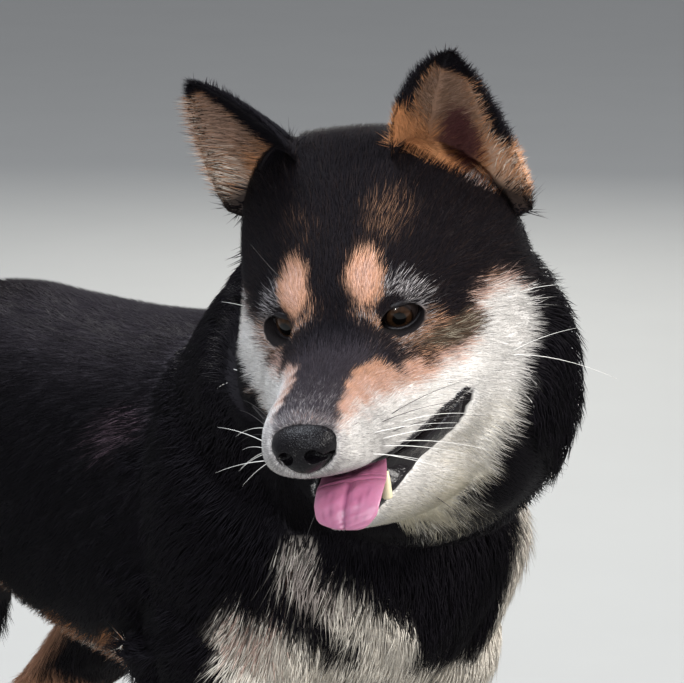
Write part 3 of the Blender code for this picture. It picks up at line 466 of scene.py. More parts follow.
def coatAt(points, normals):
    # Length, depth, width and direction of the coat at points of the skin
    local = toHead(points)
    head = headShare(local)
    leg = legShare(points)
    _, y, z = points.T
    length = np.full(len(points), coatLook["bodyLength"])
    neck = 1 - ease(-0.16, -0.06, y + 0.35 * (0.36 - z))
    length += (coatLook["neckLength"] - length) * neck
    length -= 0.45 * length * bell(np.linalg.norm(points - coatLook["behindEar"], axis=1) / 0.040)
    chest = (1 - ease(-0.17, -0.14, y)) * (1 - ease(0.26, 0.34, z))
    length += (coatLook["chestLength"] - length) * chest
    belly = (1 - ease(0.215, 0.250, z)) * (y > -0.11) * (y < 0.15)
    length += (coatLook["bellyLength"] - length) * belly
    thigh = ease(0.09, 0.13, y) * (1 - ease(0.26, 0.33, z))
    length += (coatLook["thighLength"] - length) * thigh
    breech = ease(0.5, 0.9, normals[:, 1]) * (y > 0.12) * ease(0.13, 0.17, z) * (1 - ease(0.30, 0.33, z))
    length += (coatLook["breechLength"] - length) * breech
    legLength = coatLook["pawLength"] + (coatLook["legLength"] - coatLook["pawLength"]) * ease(0.03, 0.09, z)
    length += (legLength - length) * leg
    face = lookUp(coatLook["faceLength"], local[:, 1])
    crown = ease(-0.005, 0.03, local[:, 2]) * (1 - ease(0.06, 0.1, local[:, 1]))
    face += (np.minimum(face, coatLook["crownLength"]) - face) * crown
    awayFromEyes = [local - eyeSpot(side) for side in (1, -1)]
    nearest = np.minimum(*[np.linalg.norm(away, axis=1) for away in awayFromEyes])
    face *= 0.45 + 0.55 * ease(0.008, 0.022, nearest)
    length += (face - length) * head
    depth = np.where(leg > 0.5, coatLook["legDepth"] * length + 0.0004, coatLook["depth"] * length)
    lessOnChest = 1 - 0.25 * np.clip(chest, 0, 1)
    depth *= lessOnChest
    depth += (coatLook["faceDepth"] * face + 0.0003 - depth) * head
    width = (coatLook["width"] * length + coatLook["leastWidth"]) * (1 + 0.90 * leg) * lessOnChest
    flow = np.zeros_like(points)
    flow += (0.0, 1.0, 0.0)
    flow[:, 2] -= 0.22 + 0.75 * ease(0.05, 0.9, np.abs(normals[:, 0])) * (1 - ease(0.30, 0.40, z))
    for word, share in (("neckFlow", neck), ("chestFlow", chest)):
        flow += (np.array(coatLook[word]) - flow) * np.clip(share, 0, 1)[:, None]
    flow += (np.array(coatLook["thighFlow"]) - flow) * np.clip(thigh + breech, 0, 1)[:, None] * 0.7
    legFlow = np.tile(coatLook["legFlow"], (len(points), 1))
    legFlow[:, 1] -= 1.1 * (1 - ease(0.02, 0.05, z))
    flow += (legFlow - flow) * leg[:, None]
    fromNose = unit(local - np.array(coatLook["faceFrom"]))
    fromNose[:, 2] -= 0.45 * ease(0.015, 0.06, np.abs(local[:, 0])) * (1 - ease(0.0, 0.04, local[:, 2]))
    fromNose[:, 1] += 0.25
    for away in awayFromEyes:
        near = bell(np.linalg.norm(away, axis=1) / 0.014)
        fromNose += 0.9 * near[:, None] * unit(away * (1, 0.3, 1))
    flow += (fromNose @ headTurn.T - flow) * head[:, None]
    return length, depth, width, flow, head, leg


# Mouth lines in the head's frame, as (y, z)
mouthForm = {
    "upper": ((-0.1200, -0.0575), (-0.0550, -0.0580), (-0.0440, -0.0577), (-0.0350, -0.0589),
              (-0.0230, -0.0538), (-0.0117, -0.0488), (-0.0013, -0.0436), (0.0025, -0.0396)),
    "lower": ((0.0025, -0.0404), (-0.0060, -0.0510), (-0.0150, -0.0580), (-0.0230, -0.0635),
              (-0.0310, -0.0690), (-0.0430, -0.0750), (-0.0580, -0.0785), (-0.1200, -0.0820)),
    "furEdge": ((0.0068, -0.0440), (0.0020, -0.0560), (-0.0050, -0.0645), (-0.0120, -0.0712),
                (-0.0200, -0.0762), (-0.0330, -0.0815), (-0.0503, -0.0846), (-0.1200, -0.0890)),
    "halfWidth": ((-0.06, 0.016), (-0.04, 0.024), (-0.02, 0.034), (0.006, 0.064)),  # (y, x)
}
noseForm = {
    "place": (0.0012, -0.0745, -0.0372),
    "stations": ((-0.0120, 0.0038, -0.0050, 0.0052, -0.0004, 2.0),
                 (-0.0106, 0.0068, -0.0082, 0.0090, 0.0006, 2.0),
                 (-0.0078, 0.0094, -0.0104, 0.0126, 0.0016, 2.1),
                 (-0.0040, 0.0111, -0.0115, 0.0149, 0.0022, 2.2),
                 (0.0010, 0.0118, -0.0116, 0.0156, 0.0022, 2.2),
                 (0.0070, 0.0112, -0.0104, 0.0146, 0.0018, 2.2),
                 (0.0120, 0.0070, -0.0070, 0.0108, 0.0010, 2.1)),
    "pinch": 0.26, "bare": (0.0150, 0.0114), "voxel": 0.00042, "smoothing": 5,
    "groove": ((-0.0004, -0.020, -0.020), (0.0004, -0.0092, 0.0010)), "wing": (0.0118, 0.0012),
    "wingReach": 0.0040, "wingRise": 0.0009,
    "cuts": (((0.0068, -0.0104, -0.0022), (0.0042, 0.0062, 0.0034)),
             ((0.0104, -0.0090, -0.0040), (0.0040, 0.0056, 0.0017)),
             ((0.0140, -0.0058, -0.0032), (0.0040, 0.0054, 0.0014))),
}
noseMatrix = headMatrix @ Matrix.Translation(noseForm["place"])


def prism(name, outline, half, place):
    return loftRings(name, [[(x, y, z) for y, z in outline] for x in (-half, half)], place)


def almond(side):
    # The opening between the lids
    rings = []
    for y in (-0.03, 0.0):
        ring = []
        for k in range(40):
            c, s = math.cos(2 * math.pi * k / 40), math.sin(2 * math.pi * k / 40)
            rise = eyeForm["up"] if s > 0 else eyeForm["down"]
            ring.append((eyeForm["halfWidth"] * c, y, rise * s * abs(s) ** eyeForm["pinch"]))
        rings.append(ring)
    return loftRings("slit", rings, eyeMatrix(side))


earForm = {
    "inner": (0.0295, 0.0330, 0.0715), "outer": (0.0760, 0.0700, 0.0260), "tip": (0.0660, 0.0320, 0.1125),
    # the right ear's base is moved by these
    "rightInner": (-0.0040, 0.0, 0.0030), "rightOuter": (-0.0010, 0.0, 0.0140),
    "opening": (0.62, -0.78, 0.0), "cup": 0.0240, "thickness": 0.0046, "outerCoat": 0.0013,
    "innerCoat": 0.0006,
    # folds low in the hollow: rise, place and reach across, lean with height, place and reach in height
    "folds": ((0.0030, 0.05, 0.10, 0.35, 0.12, 0.20), (0.0022, 0.45, 0.09, 0.0, 0.16, 0.13),
              (-0.0016, 0.27, 0.10, 0.0, 0.10, 0.16)),
}
earOpening = np.array(earForm["opening"]) / np.linalg.norm(earForm["opening"])


def earAxes(side):
    # Base, axis, direction across and half width of an ear; the right one leans further out
    inner, outer, tip = (np.array(earForm[k]) for k in ("inner", "outer", "tip"))
    if side < 0:
        inner, outer = inner + earForm["rightInner"], outer + earForm["rightOuter"]
    base = (inner + outer) / 2
    broad = np.linalg.norm(outer - inner) / 2
    return base, tip - base, (outer - inner) / (2 * broad), broad + 0.002


ears = {side: earAxes(side) for side in (1, -1)}


def earReach(height, side):
    return ears[side][3] * (1 - np.clip(height, 0, 1) ** 1.65) ** 0.78


def earSunk(height, u):
    return (earForm["cup"] * np.clip(1 - height, 0, 1) ** 0.8 + 0.0004) * (1 - np.clip(np.abs(u), 0, 1) ** 2)


def earThick(height, u):
    return earForm["thickness"] * (1 - 0.45 * height) * (1 - np.clip(np.abs(u), 0, 1) ** 4)


def makeEar(side):
    # A cup with the ridge and pocket of the real ear low down in its hollow
    rings = []
    for share in [-1.0] + list(np.linspace(0, 0.995, 34)):
        height = max(share, 0.0)
        base, axis, across, _ = ears[side]
        middle, reach = base + axis * height, earReach(height, side)
        if share < 0:
            middle, reach = base + np.array((-0.014, 0.002, -0.014)), reach * 0.72
        ring = []
        steps = np.linspace(-1, 1, 29)
        for u in steps:
            back = (
                earSunk(height, u)
                + max(earThick(height, u) - earForm["outerCoat"], 0.0003 * (1 - abs(u) ** 4))
            )
            ring.append(middle + across * reach * u - earOpening * back)
        for u in steps[::-1][1:-1]:
            ridge = 0.0
            for rise, at, wide, lean, up, tall in earForm["folds"]:
                ridge += rise * bell((u - at - lean * height) / wide) * bell((height - up) / tall)
            inner = earSunk(height, u) + earForm["innerCoat"] * (1 - abs(u) ** 4) - ridge
            ring.append(middle + across * reach * (u * 0.985) - earOpening * inner)
        rings.append([(p[0] * side, p[1], p[2]) for p in ring])
    return loftRings("ear", rings, headMatrix)


def earPlace(points):
    # Height 0 to 1 on an ear, -1 to 1 across it from the inner edge, whether in its hollow, and whether on it
    local = toHead(points)
    right = local[:, 0] < 0
    found = []
    for side in (1, -1):
        base, axis, across, _ = ears[side]
        basis = np.linalg.inv(np.column_stack([axis, across, -earOpening]))
        height, reach, back = ((local * (side, 1, 1) - base) @ basis.T).T
        found.append((height, reach / np.maximum(earReach(height, side), 0.0004), back))
    height, u, back = (np.where(right, b, a) for a, b in zip(*found))
    sunk, thick = earSunk(height, u), earThick(height, u)
    onEar = (
        (height > -0.02) * (height < 1.02) * (np.abs(u) < 1.12) * (back > -0.004)
        * (back < sunk + thick + 0.003)
    )
    hollow = back < sunk + 0.45 * thick
    onEar &= (height > 0.10) | (hollow & (np.abs(u) < 0.96)) | (height * 0.1 + np.abs(u) * 0.08 > 0.075)
    return height, u, hollow, onEar


tailForm = {
    "line": ((0, 0.192, 0.344, 0.024), (0, 0.230, 0.364, 0.025), (-0.001, 0.257, 0.398, 0.028),
             (-0.004, 0.259, 0.438, 0.031), (-0.010, 0.232, 0.468, 0.032), (-0.019, 0.196, 0.470, 0.030),
             (-0.028, 0.171, 0.449, 0.026), (-0.036, 0.166, 0.421, 0.019), (-0.042, 0.176, 0.403, 0.009)),
    "core": 0.50, "length": 0.036, "curl": (-0.014, 0.205, 0.415),
}
tailFine = spline(tailForm["line"], 14)
tailTangents = unit(np.gradient(tailFine[:, :3], axis=0))


def tailPlace(points):
    # Share along the tail's line, distance from it, its direction there, and whether the point is on the tail
    share, distance, along = np.zeros(len(points)), np.full(len(points), 9.0), np.zeros_like(points)
    near = np.nonzero((points[:, 1] > 0.13) & (points[:, 2] > 0.30))[0]
    for start in range(0, len(near), 20000):
        some = near[start : start + 20000]
        gaps = np.linalg.norm(points[some, None, :] - tailFine[None, :, :3], axis=2)
        best = gaps.argmin(1)
        share[some], distance[some], along[some] = best / (len(tailFine) - 1), gaps.min(1), tailTangents[best]
    radius = np.interp(share, np.linspace(0, 1, len(tailFine)), tailFine[:, 3])
    onTail = (distance < radius * (tailForm["core"] + 0.16)) & (share > 0.085)
    return share, distance, along, radius, onTail


def makeTailCore():
    rows = tailFine.copy()
    rows[:, 3] *= tailForm["core"]
    return loftRings("tailCore", tubeRings(rows[::2], 24))


def makeSkin():
    skin = remeshed(joinAll("skin", bodyForms()), skinForm["voxel"], skinForm["smoothing"])
    sculptFace(skin.data)
    points, normals = pointsOf(skin.data), normalsOf(skin.data)
    depth = coatAt(points, normals)[1]
    lowered = points - normals * depth[:, None]
    lowered[:, 2] = np.maximum(lowered[:, 2], skinForm["lowest"])
    setPoints(skin.data, lowered)
    cutWith(skin, prism("mouth", mouthForm["upper"] + mouthForm["lower"], skinForm["mouthHalf"], headMatrix))
    for side in (1, -1):
        reach = eyeForm["radius"] + eyeForm["lid"] - 0.0006
        lid = ball("lid", (0, 0, 0), (reach, reach, reach * 0.94), detail=(40, 26), place=eyeMatrix(side))
        cutWith(skin, lid, "UNION")
    for side in (1, -1):
        cutWith(skin, almond(side))
        reach = eyeForm["radius"] + skinForm["socketGap"]
        socket = ball("socket", (0, 0, 0), (reach, reach, reach), detail=(40, 26), place=eyeMatrix(side))
        cutWith(skin, socket)
    for side in (1, -1):
        cutWith(skin, makeEar(side), "UNION")
    cutWith(skin, makeTailCore(), "UNION")
    cutWith(skin, barrel("noseBed", noseForm["stations"], 32, 2, noseMatrix))
    return skin


skin = makeSkin()
print("stage: skin", len(skin.data.polygons))


# Markings: black and tan with cream, painted by place so that skin and coat agree

palette = {
    "black": (0.0068, 0.0056, 0.0078), "greyBlack": (0.052, 0.044, 0.053),
    "brownBlack": (0.040, 0.024, 0.018), "tan": (0.53, 0.292, 0.185), "orange": (0.50, 0.225, 0.098),
    "cream": (0.80, 0.735, 0.64), "white": (0.88, 0.85, 0.82), "throat": (0.62, 0.56, 0.43),
    "pinkTan": (0.63, 0.42, 0.35), "silver": (0.46, 0.43, 0.43), "speckle": (0.22, 0.120, 0.072),
    "smudge": (0.075, 0.050, 0.034), "earGrey": (0.200, 0.120, 0.080), "earSkin": (0.085, 0.030, 0.030),
    "mouth": (0.0065, 0.0048, 0.0052), "earPale": (0.42, 0.27, 0.20), "greyCream": (0.40, 0.34, 0.31),
    # colour of the painted sheen behind the shoulder
    "shoulderSheen": (0.120, 0.080, 0.100),
}
faceMarks = {
    # (y, z) of the line under which the cheek is white, on the dog's left and right, in the head's frame
    "whiteLeft": ((-0.085, -0.0300), (-0.070, -0.0275), (-0.050, -0.0262), (-0.024, -0.0288),
                  (-0.010, -0.0285), (0.000, -0.0225), (0.0066, -0.0170), (0.0125, -0.0105),
                  (0.0170, -0.0035), (0.0250, 0.0008), (0.0350, 0.0010), (0.0466, -0.0030), (0.0583, -0.0115),
                  (0.066, -0.030)),
    "whiteRight": ((-0.085, -0.0250), (-0.070, -0.0215), (-0.0428, -0.0186), (-0.0120, -0.0185),
                   (-0.0023, -0.0105), (0.0059, -0.0015), (0.0154, 0.0050), (0.0250, 0.0090),
                   (0.0350, 0.0040), (0.0466, 0.0000), (0.0583, -0.0080), (0.066, -0.030)),
    # (z, y) of the line behind which the cheek turns black
    "cheekBack": ((-0.128, 0.0250), (-0.1185, 0.0270), (-0.1126, 0.0255), (-0.1011, 0.0215),
                  (-0.0939, 0.0195), (-0.0779, 0.0200), (-0.0606, 0.0250), (-0.0346, 0.0390),
                  (-0.0176, 0.0490), (-0.0085, 0.0520), (0.010, 0.0480)),
    "cheekBackRight": ((-0.128, -0.0250), (-0.100, -0.0230), (-0.082, -0.0180), (-0.060, -0.0140),
                       (-0.045, -0.0120), (-0.0348, -0.0064), (-0.0270, -0.0010), (-0.0201, 0.0045),
                       (-0.0150, 0.0170), (-0.0100, 0.0250), (0.0060, 0.0270), (0.0150, 0.0230)),
    # (y, z) of the top of the tan on the muzzle's side
    "tanTop": ((-0.0900, 0.0200), (-0.0340, 0.0200), (-0.0300, -0.0125), (-0.0200, -0.0170),
               (-0.0110, -0.0215), (-0.0060, -0.0300)),
    # (y, x) of the edges of the dark stripe on the bridge
    "stripeLeft": ((-0.080, 0.0170), (-0.068, 0.0165), (-0.050, 0.0140), (-0.038, 0.0130), (-0.026, 0.0180),
                   (-0.018, 0.0300)),
    "stripeRight": ((-0.080, 0.0120), (-0.068, 0.0105), (-0.050, 0.0110), (-0.038, 0.0130), (-0.026, 0.0170),
                    (-0.018, 0.0280)),
    "browLeft": ((0.0146, 0.0170), (0.0085, 0.0112), 12.0),
    "browRight": ((-0.0205, 0.0150), (0.0078, 0.0112), -10.0), "browMiddle": (0.006, 0.008),
    # spots as (middle, radii, lean), in (x, z) or, for the smudge behind the eye, in (y, z)
    "forehead": ((0.30, ((0.0235, 0.0405), (0.0120, 0.0105), 0.0), 0.7),
                 (0.13, ((-0.0180, 0.0390), (0.0090, 0.0090), 0.0), 0.6)),
    "underEye": ((0.0200, -0.0130), (0.0120, 0.0070), 0.0),
    "smudge": ((0.0052, -0.0125), (0.0125, 0.0052), 15.0), "noseTip": (0.0, -0.078, -0.036), "edge": 0.0022,
}
bodyMarks = {
    # (x, z) round the white of the chest and the band that climbs from it towards the dog's right
    "chest": ((-0.0831, 0.2364), (-0.0857, 0.2472), (-0.0877, 0.2632), (-0.0829, 0.2798), (-0.0752, 0.2746),
              (-0.0644, 0.2654), (-0.0523, 0.2568), (-0.0338, 0.2488), (-0.0291, 0.2549), (-0.0391, 0.2643),
              (-0.0514, 0.2731), (-0.0590, 0.2838), (-0.0681, 0.2948), (-0.0655, 0.3069), (-0.0582, 0.3050),
              (-0.0515, 0.2955), (-0.0376, 0.2863), (-0.0260, 0.2793), (-0.0101, 0.2636), (0.0039, 0.2438),
              (0.0255, 0.2349), (0.0560, 0.2280), (0.0680, 0.2420), (0.0670, 0.2700), (0.0700, 0.3000),
              (0.0780, 0.3200), (0.1000, 0.3000), (0.1000, 0.2200), (0.0850, 0.1200), (-0.0800, 0.1200),
              (-0.0840, 0.2200)),
    "greyedBand": ((-0.0600, 0.2960), (0.0200, 0.0160), -38.0), "warm": ((-0.0820, 0.2680), (0.0130, 0.0200), 0.0),
    # a patch of painted sheen behind the shoulder
    "shoulderSheen": ((-0.0480, 0.3400), (0.0170, 0.0110), -20.0),  # (y, z), behind the shoulder
}
earMarks = {  # spots as (across, height)
    "grey": ((-0.06, 0.60), (0.70, 0.33), 0.0), "skin": ((0.16, 0.27), (0.30, 0.29), 0.0),
    "paleAcross": {"left": 0.05, "right": 0.35}, "paleHeight": 0.66, "paleReach": (0.66, 0.34),
}


class Paint:
    # Colours at points, mixed smoothly on skin and hair by hair on the coat
    def __init__(self, count, chance):
        self.colour = np.tile(palette["black"], (count, 1)).astype(float)
        self.chance = chance
        self.turn = 0

    def lay(self, name, share, grain=0.75):
        share = np.clip(share, 0, 1)
        if self.chance is not None:
            self.turn += 1
            chance = (self.chance * (1.0 + 0.618 * self.turn) * 7.13) % 1.0
            picked = np.clip((share - 0.8 * chance) / 0.2, 0, 1)
            share = grain * picked + (1 - grain) * share
        self.colour += (np.array(palette[name]) - self.colour) * share[:, None]


def spotShare(a, b, spot, soft=0.35):
    (ca, cb), (ra, rb), lean = spot
    c, s = math.cos(math.radians(lean)), math.sin(math.radians(lean))
    da, db = a - ca, b - cb
    return 1 - ease(1 - soft, 1 + soft, np.hypot((c * da + s * db) / ra, (c * db - s * da) / rb))


def outlineShare(a, b, outline, soft):
    # 1 inside an outline and 0 outside, with a soft edge this wide on either side
    nearest = np.full(len(a), 9.0)
    for (pa, pb), (qa, qb) in zip(outline, outline[1:] + outline[:1]):
        da, db = qa - pa, qb - pb
        along = np.clip(((a - pa) * da + (b - pb) * db) / (da * da + db * db), 0, 1)
        nearest = np.minimum(nearest, np.hypot(a - pa - along * da, b - pb - along * db))
    return ease(-soft, soft, np.where(insideOutline(a, b, outline), nearest, -nearest))


def paintFace(paint, local, head):
    x, y, z = local.T
    wobble = ripple(local, 0.012, 3) * 0.0016 + ripple(local, 0.005, 4) * 0.0007
    left = ease(-0.0140, 0.0040, x) * (z < -0.085) + (x > 0) * (z >= -0.085)
    edge = faceMarks["edge"]
    whiteTop = np.where(x > 0, lookUp(faceMarks["whiteLeft"], y), lookUp(faceMarks["whiteRight"], y)) + wobble
    cheekBack = lookUp(faceMarks["cheekBackRight"], z) + wobble * 1.6
    cheekBack += (lookUp(faceMarks["cheekBack"], z) + wobble * 1.6 - cheekBack) * left
    inCheek = 1 - ease(-0.003, 0.003, y - cheekBack)
    stripe = (
        np.where(x > 0, lookUp(faceMarks["stripeLeft"], y), -lookUp(faceMarks["stripeRight"], y))
        + wobble * 0.6
    )
    besideStripe = np.abs(x) - np.abs(stripe)
    # Rusty hairs over the forehead, then grey and rusty ones round the eyes
    for share, spot, soft in faceMarks["forehead"]:
        paint.lay("speckle", share * spotShare(x, z, spot, soft) * (y < 0.04) * head, 1.0)
    # A browner, lighter cast over the upper half of the head: painted sheen
    paint.lay("brownBlack", 0.14 * ease(-0.03, 0.0, z) * head)
    for side in (1, -1):
        away = local - eyeSpot(side)
        reach = np.linalg.norm(away, axis=1)
        ring = ease(0.0075, 0.0105, reach) * (1 - ease(0.015, 0.023, reach))
        outer = away[:, 0] * side
        above = ease(0.000, 0.008, away[:, 2])
        paint.lay("silver", 0.34 * ring * above * ease(-0.012, 0.002, outer) * head, 1.0)
        paint.lay("speckle", 0.62 * ring * (1 - ease(-0.004, 0.004, away[:, 2])) * head, 1.0)
        paint.lay("tan", 0.36 * ring * (1 - ease(-0.006, 0.002, outer)) * head, 1.0)
        paint.lay("silver", 0.20 * ring * (1 - above) * head, 1.0)
        below = spotShare(np.abs(x), z, faceMarks["underEye"], 0.5) * (y < 0.0) * (x * side > 0)
        paint.lay("pinkTan", 0.26 * below * head, 1.0)
        paint.lay("silver", 0.14 * below * head, 1.0)
    # Tan on the sides of the muzzle, and tan and dark hairs behind the eye
    tanArea = (
        ease(-edge, edge, besideStripe)
        * (1 - ease(-0.002, 0.003, z - lookUp(faceMarks["tanTop"], y) - wobble))
    )
    tanArea *= 1 - ease(-0.003, 0.003, y - np.minimum(cheekBack, 0.004))
    paint.lay("tan", tanArea * head)
    behind = (
        ease(0.0290, 0.0400, np.abs(x))
        * (1 - ease(-0.003, 0.003, z - whiteTop - 0.0045 - 0.012 * ease(0.014, 0.0, y)))
    )
    behind *= ease(-0.008, -0.002, z - whiteTop) * inCheek * (y > -0.016) * (1 - ease(0.030, 0.044, y))
    paint.lay("tan", 0.42 * behind * head * (x > 0), 0.9)
    smudge = spotShare(y, z, faceMarks["smudge"], 0.45) * ease(0.026, 0.034, x)
    paint.lay("white", ease(-0.0050, 0.0050, whiteTop - z) * inCheek * head * (z > -0.15))
    tanFringe = (
        bell((z - whiteTop - 0.0005) / 0.0042) * (y > -0.012) * (y < 0.050) * np.where(x > 0, 1.0, 0.35)
    )
    paint.lay("pinkTan", 0.55 * tanFringe * inCheek * head)
    paint.lay("smudge", 0.92 * smudge * head, 0.85)
    paint.lay("throat", 0.16 * smudge * head, 1.0)
    # The muzzle fades from tan to white, with a few grey hairs round the nose
    muzzle = (y < -0.018) * head * ease(0.003, -0.003, z - whiteTop)
    between = ease(-0.009, 0.004, z - whiteTop)
    paint.lay("pinkTan", 0.60 * between * (1 - ease(0.004, 0.014, z - whiteTop)) * (y < -0.01) * head)
    paint.lay("silver", 0.14 * muzzle, 1.0)
    nearNose = 0.15 * muzzle * ease(-0.030, -0.050, y)
    paint.lay("greyBlack", nearNose * ease(-0.052, -0.046, z) * ease(0.005, -0.005, z - whiteTop), 1.0)
    nose = np.linalg.norm((local - np.array(faceMarks["noseTip"])) * (1, 1, 0.9), axis=1)
    paint.lay("silver", 0.55 * (1 - ease(0.016, 0.023, nose)) * head, 1.0)
    bridge = ease(edge, -edge, besideStripe) * (y < -0.012) * ease(-0.034, -0.030, z) * head
    paint.lay("black", 0.92 * bridge * (1 - ease(-0.0715, -0.0765, y)))
    paint.lay("greyBlack", 0.75 * bridge * ease(-0.012, -0.030, y), 0.6)
    paint.lay("silver", 0.16 * bridge * ease(-0.03, -0.07, y), 1.0)
    under = ease(-0.072, -0.100, z) * ease(-0.045, -0.025, y) * (y < 0.06) * head
    jowl = 0.35 * ease(-0.035, -0.065, z) * ease(-0.02, 0.01, y) * head
    paint.lay("throat", (0.75 * under + jowl) * inCheek * left, 0.4)
    for side, word in ((1, "browLeft"), (-1, "browRight")):
        brow = spotShare(x + wobble * 0.4, z + wobble * 0.4, faceMarks[word], 0.28) * (y < 0.02)
        paint.lay("tan", brow * head)
        middle = (faceMarks[word][0], faceMarks["browMiddle"], 0.0)
        paint.lay("pinkTan", 0.45 * spotShare(x, z, middle, 0.5) * (y < 0.02) * head)


def paintBody(paint, points, normals, head):
    x, y, z = points.T
    wobble = ripple(points, 0.05, 8) * 0.006 + ripple(points, 0.018, 9) * 0.003
    off = 1 - head
    ax = np.abs(x)
    front = y < 0.0
    # Greyer black on the upward-facing coat along the back: painted sheen
    topSheen = 0.55 * ease(0.45, 0.95, normals[:, 2]) * (y > -0.12)
    paint.lay("greyBlack", topSheen * ease(0.30, 0.34, z) * off, 0.5)
    # Cream only on the underside of the belly and inside the legs, so the flank stays black
    under = ease(0.58, 0.92, -normals[:, 2] + wobble * 12) * (z < 0.26) * (y > -0.072) * (y < 0.105)
    paint.lay("orange", ease(0.0, 0.45, under) * off)
    paint.lay("cream", ease(0.40, 0.80, under) * off)
    outer = ease(0.052, 0.066, ax + wobble * 0.5)
    frontTop = ease(0.125, 0.150, z + wobble - 0.055 * (1 - outer))
    legs = np.where(front, 1 - frontTop, 1 - ease(0.120, 0.150, z + wobble - 0.10 * (y - 0.16)))
    paint.lay("tan", legs * off)
    paint.lay("orange", 0.45 * legs * off)
    inside = ease(0.010, -0.010, ax - np.where(front, 0.050, 0.054) + wobble)
    inside = inside * np.where(front, 1 - ease(0.17, 0.20, z), 1 - ease(0.105, 0.130, z))
    paint.lay("cream", inside * off)
    foot = 1 - ease(0.030, 0.075, z + wobble)
    paint.lay("cream", 0.85 * foot * off)
    breeches = (
        ease(0.0, 0.55, normals[:, 1]) * (y > 0.12) * ease(0.09, 0.12, z)
        * (1 - ease(0.315, 0.345, z + wobble))
    )
    paint.lay("tan", breeches * off)
    paint.lay("cream", breeches * (1 - ease(0.018, 0.040, ax + wobble)) * ease(0.16, 0.20, z) * off)
    # The chest's white, greyer and browner where its band climbs towards the neck, and a little greyer higher
    # up
    chest = ease(-0.128, -0.142, y + 0.35 * np.maximum(x - 0.03, 0) + wobble * 1.5) * ease(0.12, 0.16, z)
    white = outlineShare(x + wobble * 0.3, z + wobble * 0.4, bodyMarks["chest"], 0.0032) * chest * off
    greyed = spotShare(x, z, bodyMarks["greyedBand"], 0.5)
    paint.lay("cream", white, 0.6)
    paint.lay("greyCream", white * np.maximum(0.85 * greyed, 0.30 * ease(0.25, 0.29, z)))
    paint.lay("brownBlack", 0.3 * white * greyed, 1.0)
    paint.lay("pinkTan", 0.40 * white * spotShare(x, z, bodyMarks["warm"], 0.5))
    # Under the throat the white runs down a little into the collar
    inX, inY, inZ = toHead(points).T
    throat = (1 - ease(0.036, 0.048, inY + wobble)) * ease(-0.128, -0.112, inZ - 0.15 * inX + 0.006)
    throat *= ease(0.004, 0.016, inX + wobble * 0.5) * (1 - ease(0.040, 0.055, inX)) * (y < -0.12)
    paint.lay("throat", 0.45 * throat * off)
    # A paler patch of painted sheen behind the shoulder, on the dog's right
    paint.lay("shoulderSheen", 0.42 * spotShare(y, z, bodyMarks["shoulderSheen"], 0.7) * (x < 0), 1.0)


def paintEar(paint, height, u, hollow, onEar, right):
    lining = (hollow & onEar).astype(float)
    # The left ear has a black rim above; the right shows its thick black inner edge
    innerRim = ease(-0.54, -0.66, u) * ease(0.26, 0.36, height)
    outerRim = ease(0.60, 0.72, u) * ease(0.36, 0.46, height)
    leftRim = np.maximum(np.maximum(innerRim, outerRim), ease(0.78, 0.85, height))
    rightRim = np.maximum(ease(0.16, 0.02, u), ease(0.86, 0.93, height))
    fleece = lining * (1 - np.where(right, rightRim, leftRim))
    paint.lay("orange", 0.92 * fleece)
    paint.lay("cream", 0.45 * fleece * np.where(right, ease(0.20, 0.80, u), 0.6 * ease(0.50, 0.62, u)))
    paint.lay("earGrey", 0.88 * fleece * spotShare(u, height, earMarks["grey"], 0.5))
    paleAcross = np.where(right, earMarks["paleAcross"]["right"], earMarks["paleAcross"]["left"])
    pale = spotShare(u, height, ((paleAcross, earMarks["paleHeight"]), earMarks["paleReach"], 0.0), 0.6)
    paint.lay("earPale", np.where(right, 0.75, 0.30) * fleece * pale, 0.7)
    paint.lay("earSkin", 0.95 * lining * spotShare(u, height, earMarks["skin"], 0.4) * ~right)
    paint.lay("brownBlack", 0.30 * fleece * right, 1.0)
    greyRoot = lining * (1 - ease(0.03, 0.11, height)) * ease(-0.1, 0.1, u)
    paint.lay("silver", 0.45 * greyRoot * (1 - ease(0.40, 0.60, u)) * ~right, 1.0)
    paint.lay("black", 0.92 * lining * (1 - ease(0.05, 0.15, height)) * ease(0.50, 0.62, u))


def tailCentres(share):
    return tailFine[np.clip((share * (len(tailFine) - 1)).astype(int), 0, len(tailFine) - 1), :3]


def paintTail(paint, points, share, onTail):
    # Black outside the curl, cream inside it
    centres = tailCentres(share)
    inward = np.sum(unit(points - centres) * unit(np.array(tailForm["curl"]) - centres), axis=1)
    for name, low, high, seed in (("tan", 0.05, 0.45, 5), ("cream", 0.30, 0.65, 6)):
        paint.lay(name, onTail * ease(low, high, inward + 0.15 * ripple(points, 0.02, seed)))


def colourAt(points, normals, chance=None):
    local = toHead(points)
    head = headShare(local)
    paint = Paint(len(points), chance)
    height, u, hollow, onEar = earPlace(points)
    share, _, _, _, onTail = tailPlace(points)
    flesh = 1.0 - np.clip(onEar.astype(float) + onTail, 0, 1)
    paintBody(paint, points, normals, np.maximum(head, 1 - flesh))
    paintFace(paint, local, head * flesh)
    paintEar(paint, height, u, hollow, onEar, local[:, 0] < 0)
    paintTail(paint, points, share, onTail)
    return paint.colour


def insideOutline(y, z, outline):
    inside = np.zeros(len(y), bool)
    for (ya, za), (yb, zb) in zip(outline, outline[1:] + outline[:1]):
        crosses = (za > z) != (zb > z)
        inside ^= crosses & (y < (yb - ya) * (z - za) / (zb - za + 1e-12) + ya)
    return inside


